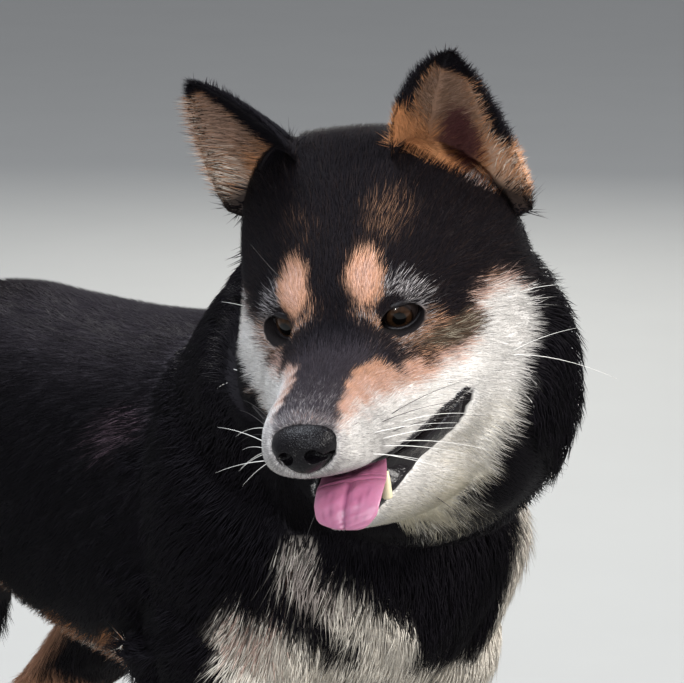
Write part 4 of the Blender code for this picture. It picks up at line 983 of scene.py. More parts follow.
def bareAt(points):
    # True where no hair grows: in and round the mouth, between the lids, under the nose and under the feet
    local = toHead(points)
    x, y, z = local.T
    lips = (
        tuple((a, b + 0.0012 + 0.0010 * (a > -0.03)) for a, b in mouthForm["upper"])
        + tuple(mouthForm["furEdge"])
    )
    bare = insideOutline(y, z, lips) & (np.abs(x) < lookUp(mouthForm["halfWidth"], y)) & (y > -0.10)
    for side in (1, -1):
        inEye = np.array(eyeMatrix(side).inverted())
        spot = points @ inEye[:3, :3].T + inEye[:3, 3]
        rise = np.where(spot[:, 2] > 0, eyeForm["up"] + 0.0002, eyeForm["down"] + 0.0004)
        bare |= (
            (np.hypot(spot[:, 0] / (eyeForm["halfWidth"] + 0.0002), spot[:, 2] / rise) < 1.0)
            & (np.abs(spot[:, 1]) < 0.02)
        )
    inNose = local - np.array(noseForm["place"])
    across, tall = noseForm["bare"]
    bare |= (np.hypot(inNose[:, 0] / across, inNose[:, 2] / tall) < 1.0) & (inNose[:, 1] < 0.004)
    bare |= points[:, 2] < 0.0012
    return bare


def bakeSpot(points, normals):
    # A place on an atlas of the skin: head, trunk and each limb are laid out by the side that they face
    local, turned = toHead(points), normals @ headTurn
    head = headShare(local) > 0.5
    place = np.where(head[:, None], local / 0.30 + 0.5, (points + (0.0, 0.0, -0.28)) / 0.64 + 0.5)
    facing = np.where(head[:, None], turned, normals)
    axis = np.abs(facing).argmax(1)
    positive = facing[np.arange(len(facing)), axis] > 0
    first = np.array((1, 0, 0))[axis]
    second = np.array((2, 2, 1))[axis]
    rows = np.arange(len(points))
    a, b = place[rows, first], place[rows, second]
    tile = axis * 2 + positive + np.where(head, 0, 6)
    spot = np.column_stack([(tile % 4 + 0.03 + 0.94 * a) * 0.25, (tile // 4 + 0.03 + 0.94 * b) * 0.25])
    leg = (legShare(points) > 0.5) & ~head
    which = (points[:, 0] > 0) * 2 + (points[:, 1] > 0.02)
    centreY = np.where(points[:, 1] > 0.02, 0.19, -0.11)
    turn = np.arctan2(points[:, 1] - centreY, np.abs(points[:, 0]) - 0.057) / (2 * np.pi) + 0.5
    legSpot = np.column_stack([(which + 0.04 + 0.92 * turn) * 0.125, 0.755 + 0.11 * points[:, 2] / 0.22])
    spot = np.where(leg[:, None], legSpot, spot)
    height, u, hollow, onEar = earPlace(points)
    earTile = (local[:, 0] > 0) * 2 + hollow
    earAcross = (4 + earTile + 0.5 + 0.44 * np.clip(u, -1, 1)) * 0.125
    earSpot = np.column_stack([earAcross, 0.755 + 0.11 * np.clip(height, 0, 1)])
    spot = np.where(onEar[:, None], earSpot, spot)
    share, _, along, _, onTail = tailPlace(points)
    out = points - tailCentres(share)
    around = np.arctan2(out[:, 0], np.sum(out * np.cross(along, (1.0, 0.0, 0.0)), axis=1)) / (2 * np.pi) + 0.5
    tailSpot = np.column_stack([0.02 + 0.46 * share, 0.885 + 0.10 * around])
    return np.where(onTail[:, None], tailSpot, spot)


def addColours(mesh, name, colours):
    layer = mesh.color_attributes.new(name, "FLOAT_COLOR", "POINT")
    full = np.ones((len(colours), 4), np.float32)
    full[:, :3] = colours
    layer.data.foreach_set("color", full.ravel())


def addBakeMap(mesh, spots):
    # spots has one row for each point of the mesh
    index = np.empty(len(mesh.loops), np.int32)
    mesh.loops.foreach_get("vertex_index", index)
    layer = mesh.uv_layers.new(name="OFBake")
    layer.data.foreach_set("uv", spots[index].astype(np.float32).ravel())


skinPoints, skinNormals = pointsOf(skin.data), normalsOf(skin.data)
# The skin under the coat is painted darker than the hair: painted shade deep in the coat
skinTone = colourAt(skinPoints, skinNormals) * 0.80  # the skin is a little darker than its hair
skinTone[bareAt(skinPoints)] = palette["mouth"]
addColours(skin.data, "coatColour", skinTone)
addBakeMap(skin.data, bakeSpot(skinPoints, skinNormals))
skin.data.shade_smooth()
print("stage: markings on the skin")


# The coat: every tuft is a thin tapered solid, rooted in the skin and laid along the lie of the hair

tuftLook = {
    # for zone 0, which has none, and the zones of coatKinds
    "layers": (0, 2.5, 2.4, 2.1, 2.5, 1.15, 2.3, 2.2),
    "seed": 21, "mostTriangles": 185000, "patch": 0.003, "shareOfThickness": 0.35, "widest": 0.1086,
    "sag": {"short": 4.0, "long": 4.6, "brush": 3.0},
}
coatKinds = (
    (1, "face", "short"), (2, "head", "short"), (3, "trunk", "short"), (4, "neck", "long"),
    (5, "leg", "short"), (6, "ear", "short"), (7, "tail", "brush"),
)


def scatterRoots(mesh, draw):
    mesh.calc_loop_triangles()
    count = len(mesh.loop_triangles)
    corners = np.empty(count * 3, np.int32)
    mesh.loop_triangles.foreach_get("vertices", corners)
    corners = corners.reshape(-1, 3)
    points, normals = pointsOf(mesh), normalsOf(mesh)
    corners = corners[np.lexsort(np.round(points[corners].mean(axis=1), 6).T)]  # the same order each run
    a, b, c = (points[corners[:, k]] for k in range(3))
    cross = np.cross(b - a, c - a)
    area = np.linalg.norm(cross, axis=1) / 2
    centres = (a + b + c) / 3
    faceNormals = unit(cross)
    length, _, width, _, zone = lookAt(centres, faceNormals)
    density = np.array(tuftLook["layers"])[zone] / (0.5 * width * length)
    bare = bareAt(centres)
    wanted = np.cumsum(area * density * ~bare)
    total = int(wanted[-1])
    picks = np.searchsorted(wanted, (np.arange(total) + draw.uniform(0, 1, total)) * wanted[-1] / total)
    picks = np.clip(picks, 0, count - 1)
    r1, r2 = np.sqrt(draw.uniform(0, 1, total)), draw.uniform(0, 1, total)
    weights = np.column_stack([1 - r1, r1 * (1 - r2), r1 * r2])
    roots = np.einsum("nk,nkd->nd", weights, points[corners[picks]])
    lean = unit(np.einsum("nk,nkd->nd", weights, normals[corners[picks]]))
    keep = ~bareAt(roots)
    return roots[keep], lean[keep]


def lookAt(points, normals):
    # The coat's measures everywhere, with ears and tail laid over those of the body
    length, depth, width, flow, head, leg = coatAt(points, normals)
    zone = np.where(head > 0.5, 1, 3)
    zone = np.where((head > 0.5) & (toHead(points)[:, 1] > 0.028), 2, zone)
    neckEnd = -0.09 + 0.03 * ripple(points, 0.03, 14) + 0.012 * ripple(points, 0.006, 15)
    zone = np.where((head <= 0.5) & (points[:, 1] < neckEnd), 4, zone)
    zone = np.where(leg > 0.5, 5, zone)
    height, u, hollow, onEar = earPlace(points)
    right = toHead(points)[:, :1] < 0
    tipward, acrossWorld = (np.where(right, ears[-1][k] * (-1, 1, 1), ears[1][k]) @ headTurn.T
                            for k in (1, 2))
    earFlow = (
        unit(tipward) + np.where(hollow, 0.75, 0.0)[:, None] * np.sign(u + 0.25)[:, None] * unit(acrossWorld)
    )
    earLength = np.where(hollow, 0.0045 + 0.0055 * (1 - np.clip(height, 0, 1)) + 0.004 * (np.abs(u) > 0.5),
                         0.0062)
    earLength = np.where((np.abs(u) > 0.9) | (height > 0.9), 0.0046, earLength)
    earDepth = np.where(hollow, earForm["innerCoat"] + 0.0008, earForm["outerCoat"])
    share, _, along, radius, onTail = tailPlace(points)
    tailLength = (
        tailForm["length"] * (1 - 0.45 * ease(0.75, 1.0, share)) * (0.55 + 0.45 * ease(0.08, 0.2, share))
    )
    tailDepth = radius * (1 - tailForm["core"]) * 0.92
    earCoat = (earLength, earDepth, 0.00026 + 0.030 * earLength, earFlow, 6)
    tailCoat = (tailLength, tailDepth, 0.0003 + 0.026 * tailLength, along, 7)
    for mask, values in ((onEar, earCoat), (onTail, tailCoat)):
        length = np.where(mask, values[0], length)
        depth = np.where(mask, values[1], depth)
        width = np.where(mask, values[2], width)
        flow = np.where(mask[:, None], values[3], flow)
        zone = np.where(mask, values[4], zone)
    return length, depth, width, flow, zone


# rings as (share of the length, share of the depth, share of the width), then the tip's share of the depth
tuftShapes = {
    "short": (((-0.10, -0.25, 1.0),), 1.0),
    "long": (((-0.08, -0.25, 0.80), (0.42, 0.72, 1.0)), 1.0),
    "brush": (((-0.06, -0.15, 0.80), (0.30, 0.62, 1.0), (0.66, 0.95, 0.72)), 1.02),
}


def growTufts(name, roots, normals, look, shape, draw):
    length, depth, width, flow = look
    rings, tipRise = tuftShapes[shape]
    count = len(roots)
    sag = tuftLook["sag"][shape] * length**2  # the surface falls away under a long tuft, and its tip follows
    lay = unit(flow - normals * np.sum(flow * normals, axis=1)[:, None])
    side = np.cross(normals, lay)
    swing = draw.normal(0, 0.11, count) + 0.16 * ripple(roots, 0.016, 31) + 0.10 * ripple(roots, 0.006, 32)
    lay = unit(lay + side * swing[:, None])
    side = np.cross(normals, lay)
    length = length * draw.uniform(0.72, 1.18, count)
    rise = depth * draw.uniform(0.70, 1.22, count)
    width = width * draw.uniform(0.75, 1.25, count)
    curl = draw.normal(0, 0.05, count) * length
    thick = tuftLook["shareOfThickness"]
    layers, shares = [], []
    for along, up, wide in rings:
        centre = (
            roots + lay * (length * along)[:, None]
            + normals * (rise * up - sag * along * abs(along))[:, None]
            + side * (curl * along * abs(along))[:, None]
        )
        half = side * (width * wide / 2)[:, None]
        layers += [centre - half, centre + half, centre + normals * (width * wide * thick)[:, None]]
        shares += [(max(along, 0.0), 0.0), (max(along, 0.0), 1.0), (max(along, 0.0), 0.5)]
    tips = roots + lay * length[:, None] + normals * (rise * tipRise - sag)[:, None] + side * curl[:, None]
    layers.append(tips)
    shares.append((1.0, 0.5))
    each = len(layers)
    points = np.stack(layers, axis=1).reshape(-1, 3)
    points[:, 2] = np.maximum(points[:, 2], 0.0004)
    points[:, 0] = np.minimum(points[:, 0], tuftLook["widest"])
    faces = [(0, 2, 1)]
    for ring in range(len(rings) - 1):
        for k in range(3):
            a, b, c, d = ring * 3 + k, ring * 3 + (k + 1) % 3, ring * 3 + 3 + (k + 1) % 3, ring * 3 + 3 + k
            faces += [(a, b, c), (a, c, d)]
    last = (len(rings) - 1) * 3
    faces += [(last, last + 1, last + 3), (last + 1, last + 2, last + 3), (last + 2, last, last + 3)]
    faces = np.array(faces)
    every = (faces[None] + (np.arange(count) * each)[:, None, None]).reshape(-1)
    mesh = bpy.data.meshes.new(name)
    mesh.vertices.add(len(points))
    mesh.vertices.foreach_set("co", points.astype(np.float32).ravel())
    mesh.loops.add(len(every))
    mesh.loops.foreach_set("vertex_index", every.astype(np.int32))
    mesh.polygons.add(len(every) // 3)
    mesh.polygons.foreach_set("loop_start", np.arange(0, len(every), 3, dtype=np.int32))
    mesh.polygons.foreach_set("loop_total", np.full(len(every) // 3, 3, np.int32))
    mesh.update(calc_edges=True)
    shares = np.array(shares)
    chance = draw.uniform(0, 1, count)
    jitter = draw.normal(0, 1, (count, 3)) * (0.00045 + 0.07 * length)[:, None]
    spots = roots + jitter * 0.7 - normals * np.sum(jitter * normals, axis=1)[:, None] * 0.7
    tones = colourAt(spots, normals, chance)
    tones *= draw.uniform(0.80, 1.14, count)[:, None]
    # Each tuft is darker at its root, painted shade deep in the coat, and a little lighter at its tip
    shade = 0.84 + 0.20 * shares[:, 0]
    colours = (tones[:, None, :] * shade[None, :, None]).reshape(-1, 3)
    addColours(mesh, "coatColour", np.clip(colours, 0, 1))
    spots = bakeSpot(roots, normals)
    spots = spots[:, None, :] + tuftLook["patch"] * (shares[None, :, ::-1] - 0.5)
    addBakeMap(mesh, spots.reshape(-1, 2))
    mesh.shade_smooth()
    return addObject(name, mesh), len(every) // 3


def growCoat():
    draw = np.random.default_rng(tuftLook["seed"])
    roots, normals = scatterRoots(skin.data, draw)
    length, depth, width, flow, zone = lookAt(roots, normals)
    made, total = [], 0
    for number, word, shape in coatKinds:
        chosen = np.nonzero(zone == number)[0]
        each = 4 + 6 * (len(tuftShapes[shape][0]) - 1)  # triangles in a tuft
        most = tuftLook["mostTriangles"] // each
        parts = max(1, math.ceil(len(chosen) / most))
        for part in range(parts):
            some = chosen[part::parts]
            look = (length[some], depth[some], width[some], flow[some])
            name = f"coat_{word}_{part + 1}"
            obj, triangles = growTufts(name, roots[some], normals[some], look, shape, draw)
            made.append(obj)
            total += triangles
            print("coat", obj.name, len(some), "tufts", triangles)
    print("stage: coat", total, "triangles")
    return made


coatPieces = growCoat()


# Finishes

def addNode(tree, kind, place=(0, 0), **settings):
    node = tree.nodes.new(kind)
    node.location = place
    for name, value in settings.items():
        setattr(node, name, value)
    return node


def setInputs(node, values):
    for name, value in values.items():
        node.inputs[name].default_value = value


def wire(tree, *links):
    # Each link is a node, its output, the node that takes it, and the input there
    for source, output, target, entry in links:
        tree.links.new(source.outputs[output], target.inputs[entry])


def newGroup(name, inputs, outputs):
    tree = bpy.data.node_groups.new(name, "ShaderNodeTree")
    for word, kind, value in inputs:
        socket = tree.interface.new_socket(name=word, in_out="INPUT", socket_type=kind)
        socket.default_value = value
    for word, kind in outputs:
        tree.interface.new_socket(name=word, in_out="OUTPUT", socket_type=kind)
    return tree, addNode(tree, "NodeGroupInput", (-900, 0)), addNode(tree, "NodeGroupOutput", (500, 0))


def makeToneGroup():
    # Colour that drifts a little lighter and darker over the surface, in two sizes
    inputs = (("Colour", "NodeSocketColor", (0.5, 0.5, 0.5, 1)), ("Broad", "NodeSocketFloat", 40.0),
              ("Fine", "NodeSocketFloat", 400.0), ("Amount", "NodeSocketFloat", 0.2))
    outputs = (("Colour", "NodeSocketColor"), ("Mask", "NodeSocketFloat"))
    tree, into, out = newGroup("toneDrift", inputs, outputs)
    place = addNode(tree, "ShaderNodeTexCoord", (-900, -300))
    broad = addNode(tree, "ShaderNodeTexNoise", (-650, -150))
    fine = addNode(tree, "ShaderNodeTexNoise", (-650, -420))
    both = addNode(tree, "ShaderNodeMath", (-420, -250), operation="ADD")
    for noise, word, detail in ((broad, "Broad", 3.0), (fine, "Fine", 2.0)):
        wire(tree, (place, "Object", noise, "Vector"), (into, word, noise, "Scale"))
        setInputs(noise, {"Detail": detail})
    centred = addNode(tree, "ShaderNodeMath", (-260, -250), operation="SUBTRACT")
    scaled = addNode(tree, "ShaderNodeMath", (-100, -250), operation="MULTIPLY_ADD")
    grey = addNode(tree, "ShaderNodeCombineColor", (60, -250))
    mixed = addNode(tree, "ShaderNodeMix", (260, 0), data_type="RGBA", blend_type="MULTIPLY")
    setInputs(centred, {1: 1.0})
    setInputs(scaled, {2: 1.0})
    setInputs(mixed, {"Factor": 1.0})
    wire(tree, (broad, "Fac", both, 0), (fine, "Fac", both, 1), (both, 0, centred, 0), (both, 0, out, "Mask"))
    wire(tree, (centred, 0, scaled, 0), (into, "Amount", scaled, 1))
    wire(tree, *[(scaled, 0, grey, word) for word in ("Red", "Green", "Blue")])
    wire(tree, (into, "Colour", mixed, "A"), (grey, "Color", mixed, "B"), (mixed, "Result", out, "Colour"))
    return tree


def makeGrainGroup():
    # Fine raised grain: pebbles between creases, with a softer swell under them
    inputs = (("Pebbles", "NodeSocketFloat", 900.0), ("Swell", "NodeSocketFloat", 120.0),
              ("Share", "NodeSocketFloat", 0.7))
    tree, into, out = newGroup("raisedGrain", inputs, (("Height", "NodeSocketFloat"),))
    place = addNode(tree, "ShaderNodeTexCoord", (-900, -300))
    cells = addNode(tree, "ShaderNodeTexVoronoi", (-650, -100), feature="DISTANCE_TO_EDGE")
    swell = addNode(tree, "ShaderNodeTexNoise", (-650, -400))
    ramp = addNode(tree, "ShaderNodeMapRange", (-420, -100), interpolation_type="SMOOTHSTEP")
    mixed = addNode(tree, "ShaderNodeMix", (-160, -100), data_type="FLOAT")
    setInputs(ramp, {"From Max": 0.35})
    for node, word in ((cells, "Pebbles"), (swell, "Swell")):
        wire(tree, (place, "Object", node, "Vector"), (into, word, node, "Scale"))
    wire(tree, (cells, "Distance", ramp, "Value"), (into, "Share", mixed, "Factor"))
    wire(tree, (swell, "Fac", mixed, "A"), (ramp, "Result", mixed, "B"), (mixed, "Result", out, "Height"))
    return tree


toneGroup, grainGroup = makeToneGroup(), makeGrainGroup()

# A finish without a colour takes the one painted on its mesh
# tone: broad scale, fine scale and amount of the drift
# grain: scales of pebbles and swell, the pebbles' share, the bump's strength, and its depth in metres
finishes = {
    "coat": {"roughness": 0.55, "specular": 0.06, "tone": (18.0, 260.0, 0.40)},
    "furSkin": {"roughness": 0.85, "specular": 0.15,
                "tone": (60.0, 700.0, 0.8), "grain": (1500.0, 300.0, 0.3, 0.5, 0.0006)},
    "eyeball": {"roughness": 0.10, "specular": 0.18, "coat": 0.18, "tone": (120.0, 900.0, 0.15)},
    "lidSkin": {"colour": (0.0065, 0.0050, 0.0060), "roughness": 0.32, "specular": 0.25,
                "tone": (90.0, 800.0, 0.5), "grain": (1600.0, 500.0, 0.5, 0.35, 0.0002)},
    "noseLeather": {"colour": (0.0035, 0.0028, 0.0038), "roughness": 0.28, "specular": 0.16,
                    "tone": (70.0, 700.0, 0.6), "grain": (950.0, 200.0, 0.8, 0.55, 0.0003)},
    "lipSkin": {"colour": (0.0070, 0.0050, 0.0060), "roughness": 0.24, "specular": 0.30, "coat": 0.12,
                "tone": (90.0, 600.0, 0.6), "grain": (700.0, 260.0, 0.45, 0.45, 0.0005)},
    "tongue": {"roughness": 0.34, "coat": 0.25, "flesh": 0.12, "tone": (60.0, 500.0, 0.22),
               "grain": (2200.0, 400.0, 0.6, 0.3, 0.0002)},
    "tooth": {"colour": (0.80, 0.70, 0.47), "roughness": 0.22, "coat": 0.3, "tone": (120.0, 600.0, 0.25),
              "grain": (300.0, 900.0, 0.1, 0.1, 0.0001)},
    "claw": {"colour": (0.030, 0.024, 0.021), "roughness": 0.38, "tone": (150.0, 900.0, 0.9),
             "grain": (500.0, 1300.0, 0.25, 0.35, 0.0002)},
    "padSkin": {"colour": (0.020, 0.017, 0.018), "roughness": 0.62, "tone": (120.0, 700.0, 0.5),
                "grain": (800.0, 260.0, 0.8, 0.7, 0.0005)},
    "whisker": {"roughness": 0.35, "tone": (40.0, 200.0, 0.1)},
    "floor": {"colour": (0.32, 0.32, 0.31), "roughness": 0.75,
              "tone": (1.2, 9.0, 0.05), "grain": (60.0, 8.0, 0.2, 0.05, 0.0005)},
}


def makeMaterial(name):
    look = finishes[name]
    material = bpy.data.materials.new(name)
    material.use_nodes = True
    tree = material.node_tree
    shader = tree.nodes["Principled BSDF"]
    setInputs(shader, {"Roughness": look["roughness"], "Specular IOR Level": look.get("specular", 0.5)})
    if "coat" in look:
        setInputs(shader, {"Coat Weight": look["coat"], "Coat Roughness": 0.04})
    if "flesh" in look:
        setInputs(shader, {"Subsurface Weight": look["flesh"], "Subsurface Radius": (1.0, 0.35, 0.25),
                           "Subsurface Scale": 0.003})
    tone = addNode(tree, "ShaderNodeGroup", (-400, 100), node_tree=toneGroup)
    setInputs(tone, dict(zip(("Broad", "Fine", "Amount"), look["tone"])))
    if "colour" in look:
        setInputs(tone, {"Colour": (*look["colour"], 1.0)})
    else:
        painted = addNode(tree, "ShaderNodeAttribute", (-650, 100), attribute_name="coatColour")
        wire(tree, (painted, "Color", tone, "Colour"))
    wire(tree, (tone, "Colour", shader, "Base Color"))
    if "grain" in look:
        grain = addNode(tree, "ShaderNodeGroup", (-650, -250), node_tree=grainGroup)
        bump = addNode(tree, "ShaderNodeBump", (-400, -250))
        setInputs(grain, dict(zip(("Pebbles", "Swell", "Share"), look["grain"])))
        setInputs(bump, dict(zip(("Strength", "Distance"), look["grain"][3:])))
        wire(tree, (grain, "Height", bump, "Height"), (bump, "Normal", shader, "Normal"))
    return material


materials = {name: makeMaterial(name) for name in finishes}


def dress(obj, finish, replaced=()):
    obj.data.materials.clear()
    obj.data.materials.append(materials[finish])
    obj.data.transform(toWorld)
    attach(obj, "root")
    if replaced:
        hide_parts(*replaced)
    return obj


sides = ((1, "left"), (-1, "right"))
skinTree = BVHTree.FromPolygons([tuple(p) for p in pointsOf(skin.data)],
                                [tuple(p.vertices) for p in skin.data.polygons])
headAcross = Vector(headTurn[:, 0])


def onSkin(side, y, z):
    # The point of the head's skin at this y and z, seen straight from the side, all in the head's frame
    start = headMatrix @ Vector((side * 0.12, y, z))
    hit = skinTree.ray_cast(start, headAcross * -side)[0]
    return None if hit is None else toHead(np.array(hit)[None])[0]


# Eyes

eyeLook = {
    "iris": 37.0, "pupil": 17.0, "bulge": 0.0002, "pan": 6.0, "tilt": 5.0, "rimUp": 0.00130,
    "rimDown": 0.00180, "amber": (0.022, 0.0105, 0.0050), "brown": (0.007, 0.0040, 0.0030),
    "white": (0.030, 0.021, 0.019), "dark": 0.0012, "turns": 72, "seed": 5,
}


def makeEye(side, word):
    # Rings from the pupil to the back, closer together over the iris
    turns = eyeLook["turns"]
    polar = np.concatenate([np.linspace(0, 50, 40), np.linspace(54, 180, 16)])
    around = np.arange(turns) * 2 * np.pi / turns
    rings, colours = [], []
    draw = np.random.default_rng(eyeLook["seed"])
    streak = np.interp(np.arange(turns), np.arange(0, turns, 2), draw.uniform(0.65, 1.35, turns // 2))
    for angle in polar:
        theta = math.radians(max(angle, 0.4))
        dome = max(0.0, 1 - (angle / 40.0) ** 2)
        radius = eyeForm["radius"] - 0.0001 + eyeLook["bulge"] * dome
        if angle > 179:
            theta = math.radians(179.6)
        wide, front = radius * math.sin(theta), -radius * math.cos(theta)
        rings.append([(wide * math.cos(a), front, wide * math.sin(a)) for a in around])
        iris = ease(eyeLook["pupil"], eyeLook["pupil"] + 1.6, angle)
        outer = ease(eyeLook["iris"] - 7.0, eyeLook["iris"], angle)
        white = ease(eyeLook["iris"] + 1.0, eyeLook["iris"] + 5.0, angle)
        ring = np.outer(streak, np.array(eyeLook["amber"])) * (0.7 + 0.5 * ease(16, 24, angle))
        ring += (np.array(eyeLook["brown"]) - ring) * np.clip(outer + 0.35 * (1 - ease(14, 19, angle)), 0, 1)
        ring = eyeLook["dark"] + (ring - eyeLook["dark"]) * iris
        ring += (np.array(eyeLook["white"]) - ring) * white
        colours.append(ring)
    place = eyeMatrix(side) @ Matrix.Rotation(math.radians(-side * eyeLook["pan"]), 4, "Z")
    place = place @ Matrix.Rotation(math.radians(eyeLook["tilt"]), 4, "X")
    eye = loftRings("eyeball_" + word, rings, place)
    addColours(eye.data, "coatColour", np.array(colours).reshape(-1, 3))
    eye.data.shade_smooth()
    return eye


def makeLids(side, word):
    # The dark hairless rim round the eye, drawn out to the tear corner
    rows = []
    count = 72
    for k in range(count):
        angle = 2 * math.pi * k / count
        c, s = math.cos(angle), math.sin(angle)
        toNose = max(0.0, -c * side)
        reach = (eyeForm["halfWidth"] + 0.0004) * (1 + 0.14 * toNose**6)
        rise = (eyeForm["up"] if s > 0 else eyeForm["down"]) + 0.0005
        x, z = reach * c, rise * s * abs(s) ** eyeForm["pinch"] - 0.0010 * toNose**6
        radius = eyeForm["radius"] + 0.00045
        y = -math.sqrt(max(radius**2 - x * x - z * z, (0.30 * radius) ** 2))
        thick = eyeLook["rimUp"] if s > 0 else eyeLook["rimDown"]
        rows.append((Vector((x, y, z)), thick * (1.0 + 0.25 * toNose**4)))
    rings, sections = [], 12
    for k, (spot, thick) in enumerate(rows):
        along = (rows[(k + 1) % count][0] - rows[k - 1][0]).normalized()
        out = spot.normalized()
        across = along.cross(out).normalized()
        ring = []
        for j in range(sections):
            a = 2 * math.pi * j / sections
            ring.append(spot + across * (math.cos(a) * thick * 1.15) + out * (math.sin(a) * thick * 0.75))
        rings.append(ring)
    points = [p for ring in rings for p in ring]
    faces = []
    for k in range(count):
        here, ahead = k * sections, ((k + 1) % count) * sections
        for j in range(sections):
            after = (j + 1) % sections
            faces.append((here + j, here + after, ahead + after, ahead + j))
    lid = turnOutward(meshObject("lids_" + word, points, faces))
    lid.data.transform(eyeMatrix(side))
    lid.data.shade_smooth()
    return lid


for side, word in sides:
    dress(makeEye(side, word), "eyeball", ["eye_" + word])
    dress(makeLids(side, word), "lidSkin")
print("stage: eyes")


# Nose

def makeNose():
    nose = barrel("nosePad", noseForm["stations"], 96, 8)
    points = pointsOf(nose.data)
    points[:, 0] *= 1 - noseForm["pinch"] * ease(0.0, 0.012, -points[:, 2])
    (across, up), reach = noseForm["wing"], noseForm["wingReach"]
    wing = np.exp(-(((np.abs(points[:, 0]) - across) / reach) ** 2 + ((points[:, 2] - up) / reach) ** 2))
    points[:, 1] -= noseForm["wingRise"] * (wing * (points[:, 1] < 0))
    setPoints(nose.data, points)
    nose.data.transform(noseMatrix)
    for side in (1, -1):
        for centre, radii in noseForm["cuts"]:
            spot = (side * centre[0], centre[1], centre[2])
            cutWith(nose, ball("nostril", spot, radii, (0, side * 14, 0), (28, 18), noseMatrix))
    cutWith(nose, box("groove", *noseForm["groove"], noseMatrix))
    remeshed(nose, noseForm["voxel"], noseForm["smoothing"])
    nose.data.shade_smooth()
    return nose


dress(makeNose(), "noseLeather", ["nose"])
print("stage: nose")


# Lips: a wet black band along the lower jaw with a row of soft points, and a narrow rim above

lipLook = {
    "bend": 0.66, "cornerY": 0.0022, "tipY": -0.0360, "wide": 0.0150, "steps": 110, "points": 13, "waves": 26,
    "pointHeight": 0.0018, "crown": 0.0013, "thickness": 0.0035, "rim": 0.0017,
}


def lipSpot(share, side, height):
    # A point on the jaw: share 0 to 1 from the mouth's corner to the chin, height 0 to 1 from lip to fur
    bend = math.radians(90 * max(0.0, (share - lipLook["bend"]) / (1 - lipLook["bend"])))
    y = lipLook["cornerY"] + (lipLook["tipY"] - lipLook["cornerY"]) * min(1.0, share / lipLook["bend"])
    out = np.array((side * math.cos(bend), -math.sin(bend), 0.0))
    guess = y - lipLook["wide"] * math.sin(bend)
    z = sum(lookUp(sorted(mouthForm[k]), guess) * w for k, w in (("lower", 1 - height), ("furEdge", height)))
    middle = np.array((0.0, y, z))
    start = middle + out * 0.12
    hit = skinTree.ray_cast(headMatrix @ Vector(start), Vector(headTurn @ -out))[0]
    local = toHead(np.array(hit)[None])[0] if hit is not None else start
    reach = (local - middle) @ out
    if hit is None or reach < 0.004 or (bend > 0 and reach > lipLook["wide"] + 0.004):
        local = middle + out * lipLook["wide"]  # no usable point of the jaw there
    return local, out


def makeLowerLip():
    rings = []
    steps = lipLook["steps"]
    path = (
        [(share, 1) for share in np.linspace(0, 1, steps)]
        + [(share, -1) for share in np.linspace(1, 0, steps)[1:]]
    )
    for share, side in path:
        row = []
        step = share * steps
        wave = abs(math.sin(share * math.pi * lipLook["waves"])) ** 1.5 * min(1.0, (1.06 - share) / 0.12)
        fade = min(1.0, step / 6)
        for height in np.linspace(0, 1, lipLook["points"]):
            spot, out = lipSpot(share, side, height)
            swell = math.sin(math.pi * min(1.0, height * 1.04)) ** 0.7
            lift = lipLook["crown"] * swell + lipLook["pointHeight"] * wave * bell((height - 0.22) / 0.20)
            lift += 0.0004 * math.sin(step * 0.9 + height * 9) * math.sin(height * math.pi)
            row.append(spot + out * lift * fade
                       + np.array((0.0, 0.0, 0.0010 * wave * bell(height / 0.3) * fade)))
        row = np.array(row)
        back = row[::-1] - out * lipLook["thickness"]
        rings.append(np.vstack([row, back]))
    rings = np.array(rings)
    for _ in range(2):
        rings[1:-1] = 0.5 * rings[1:-1] + 0.25 * (rings[:-2] + rings[2:])
    return loftRings("lowerLip", rings, headMatrix)


def makeUpperLip(side):
    ys = np.linspace(0.0030, -0.0700, 90)
    zs = lookUp(sorted(mouthForm["upper"]), ys)
    rows = []
    for y, z in zip(ys, zs):
        spot = onSkin(side, y, z + 0.0011)
        if spot is not None:
            fade = min(1.0, (y + 0.0715) / 0.02)
            rows.append((spot[0] - side * 0.0007, y, z + 0.0002, lipLook["rim"] * (0.55 + 0.45 * fade)))
    return loftRings("upperLip", tubeRings(rows, 12), headMatrix)


lips = joinAll("lips", [makeLowerLip(), makeUpperLip(1), makeUpperLip(-1)])
lips.data.shade_smooth()
dress(lips, "lipSkin")
print("stage: lips")


# Tongue and teeth

tongueForm = {
    "rows": ((0.0000, -0.0060, -0.0540, 0.0120), (0.0016, -0.0210, -0.0625, 0.0145),
             (0.0058, -0.0385, -0.0655, 0.0158), (0.0096, -0.0540, -0.0660, 0.0164),
             (0.0104, -0.0630, -0.0698, 0.0162), (0.0100, -0.0670, -0.0748, 0.0146),
             (0.0098, -0.0684, -0.0782, 0.0112), (0.0096, -0.0688, -0.0801, 0.0064)),
    "sides": 56, "top": 0.0022, "under": 0.0026, "pink": (0.385, 0.125, 0.225), "deep": (0.150, 0.030, 0.085),
    "light": (0.48, 0.200, 0.300),
}


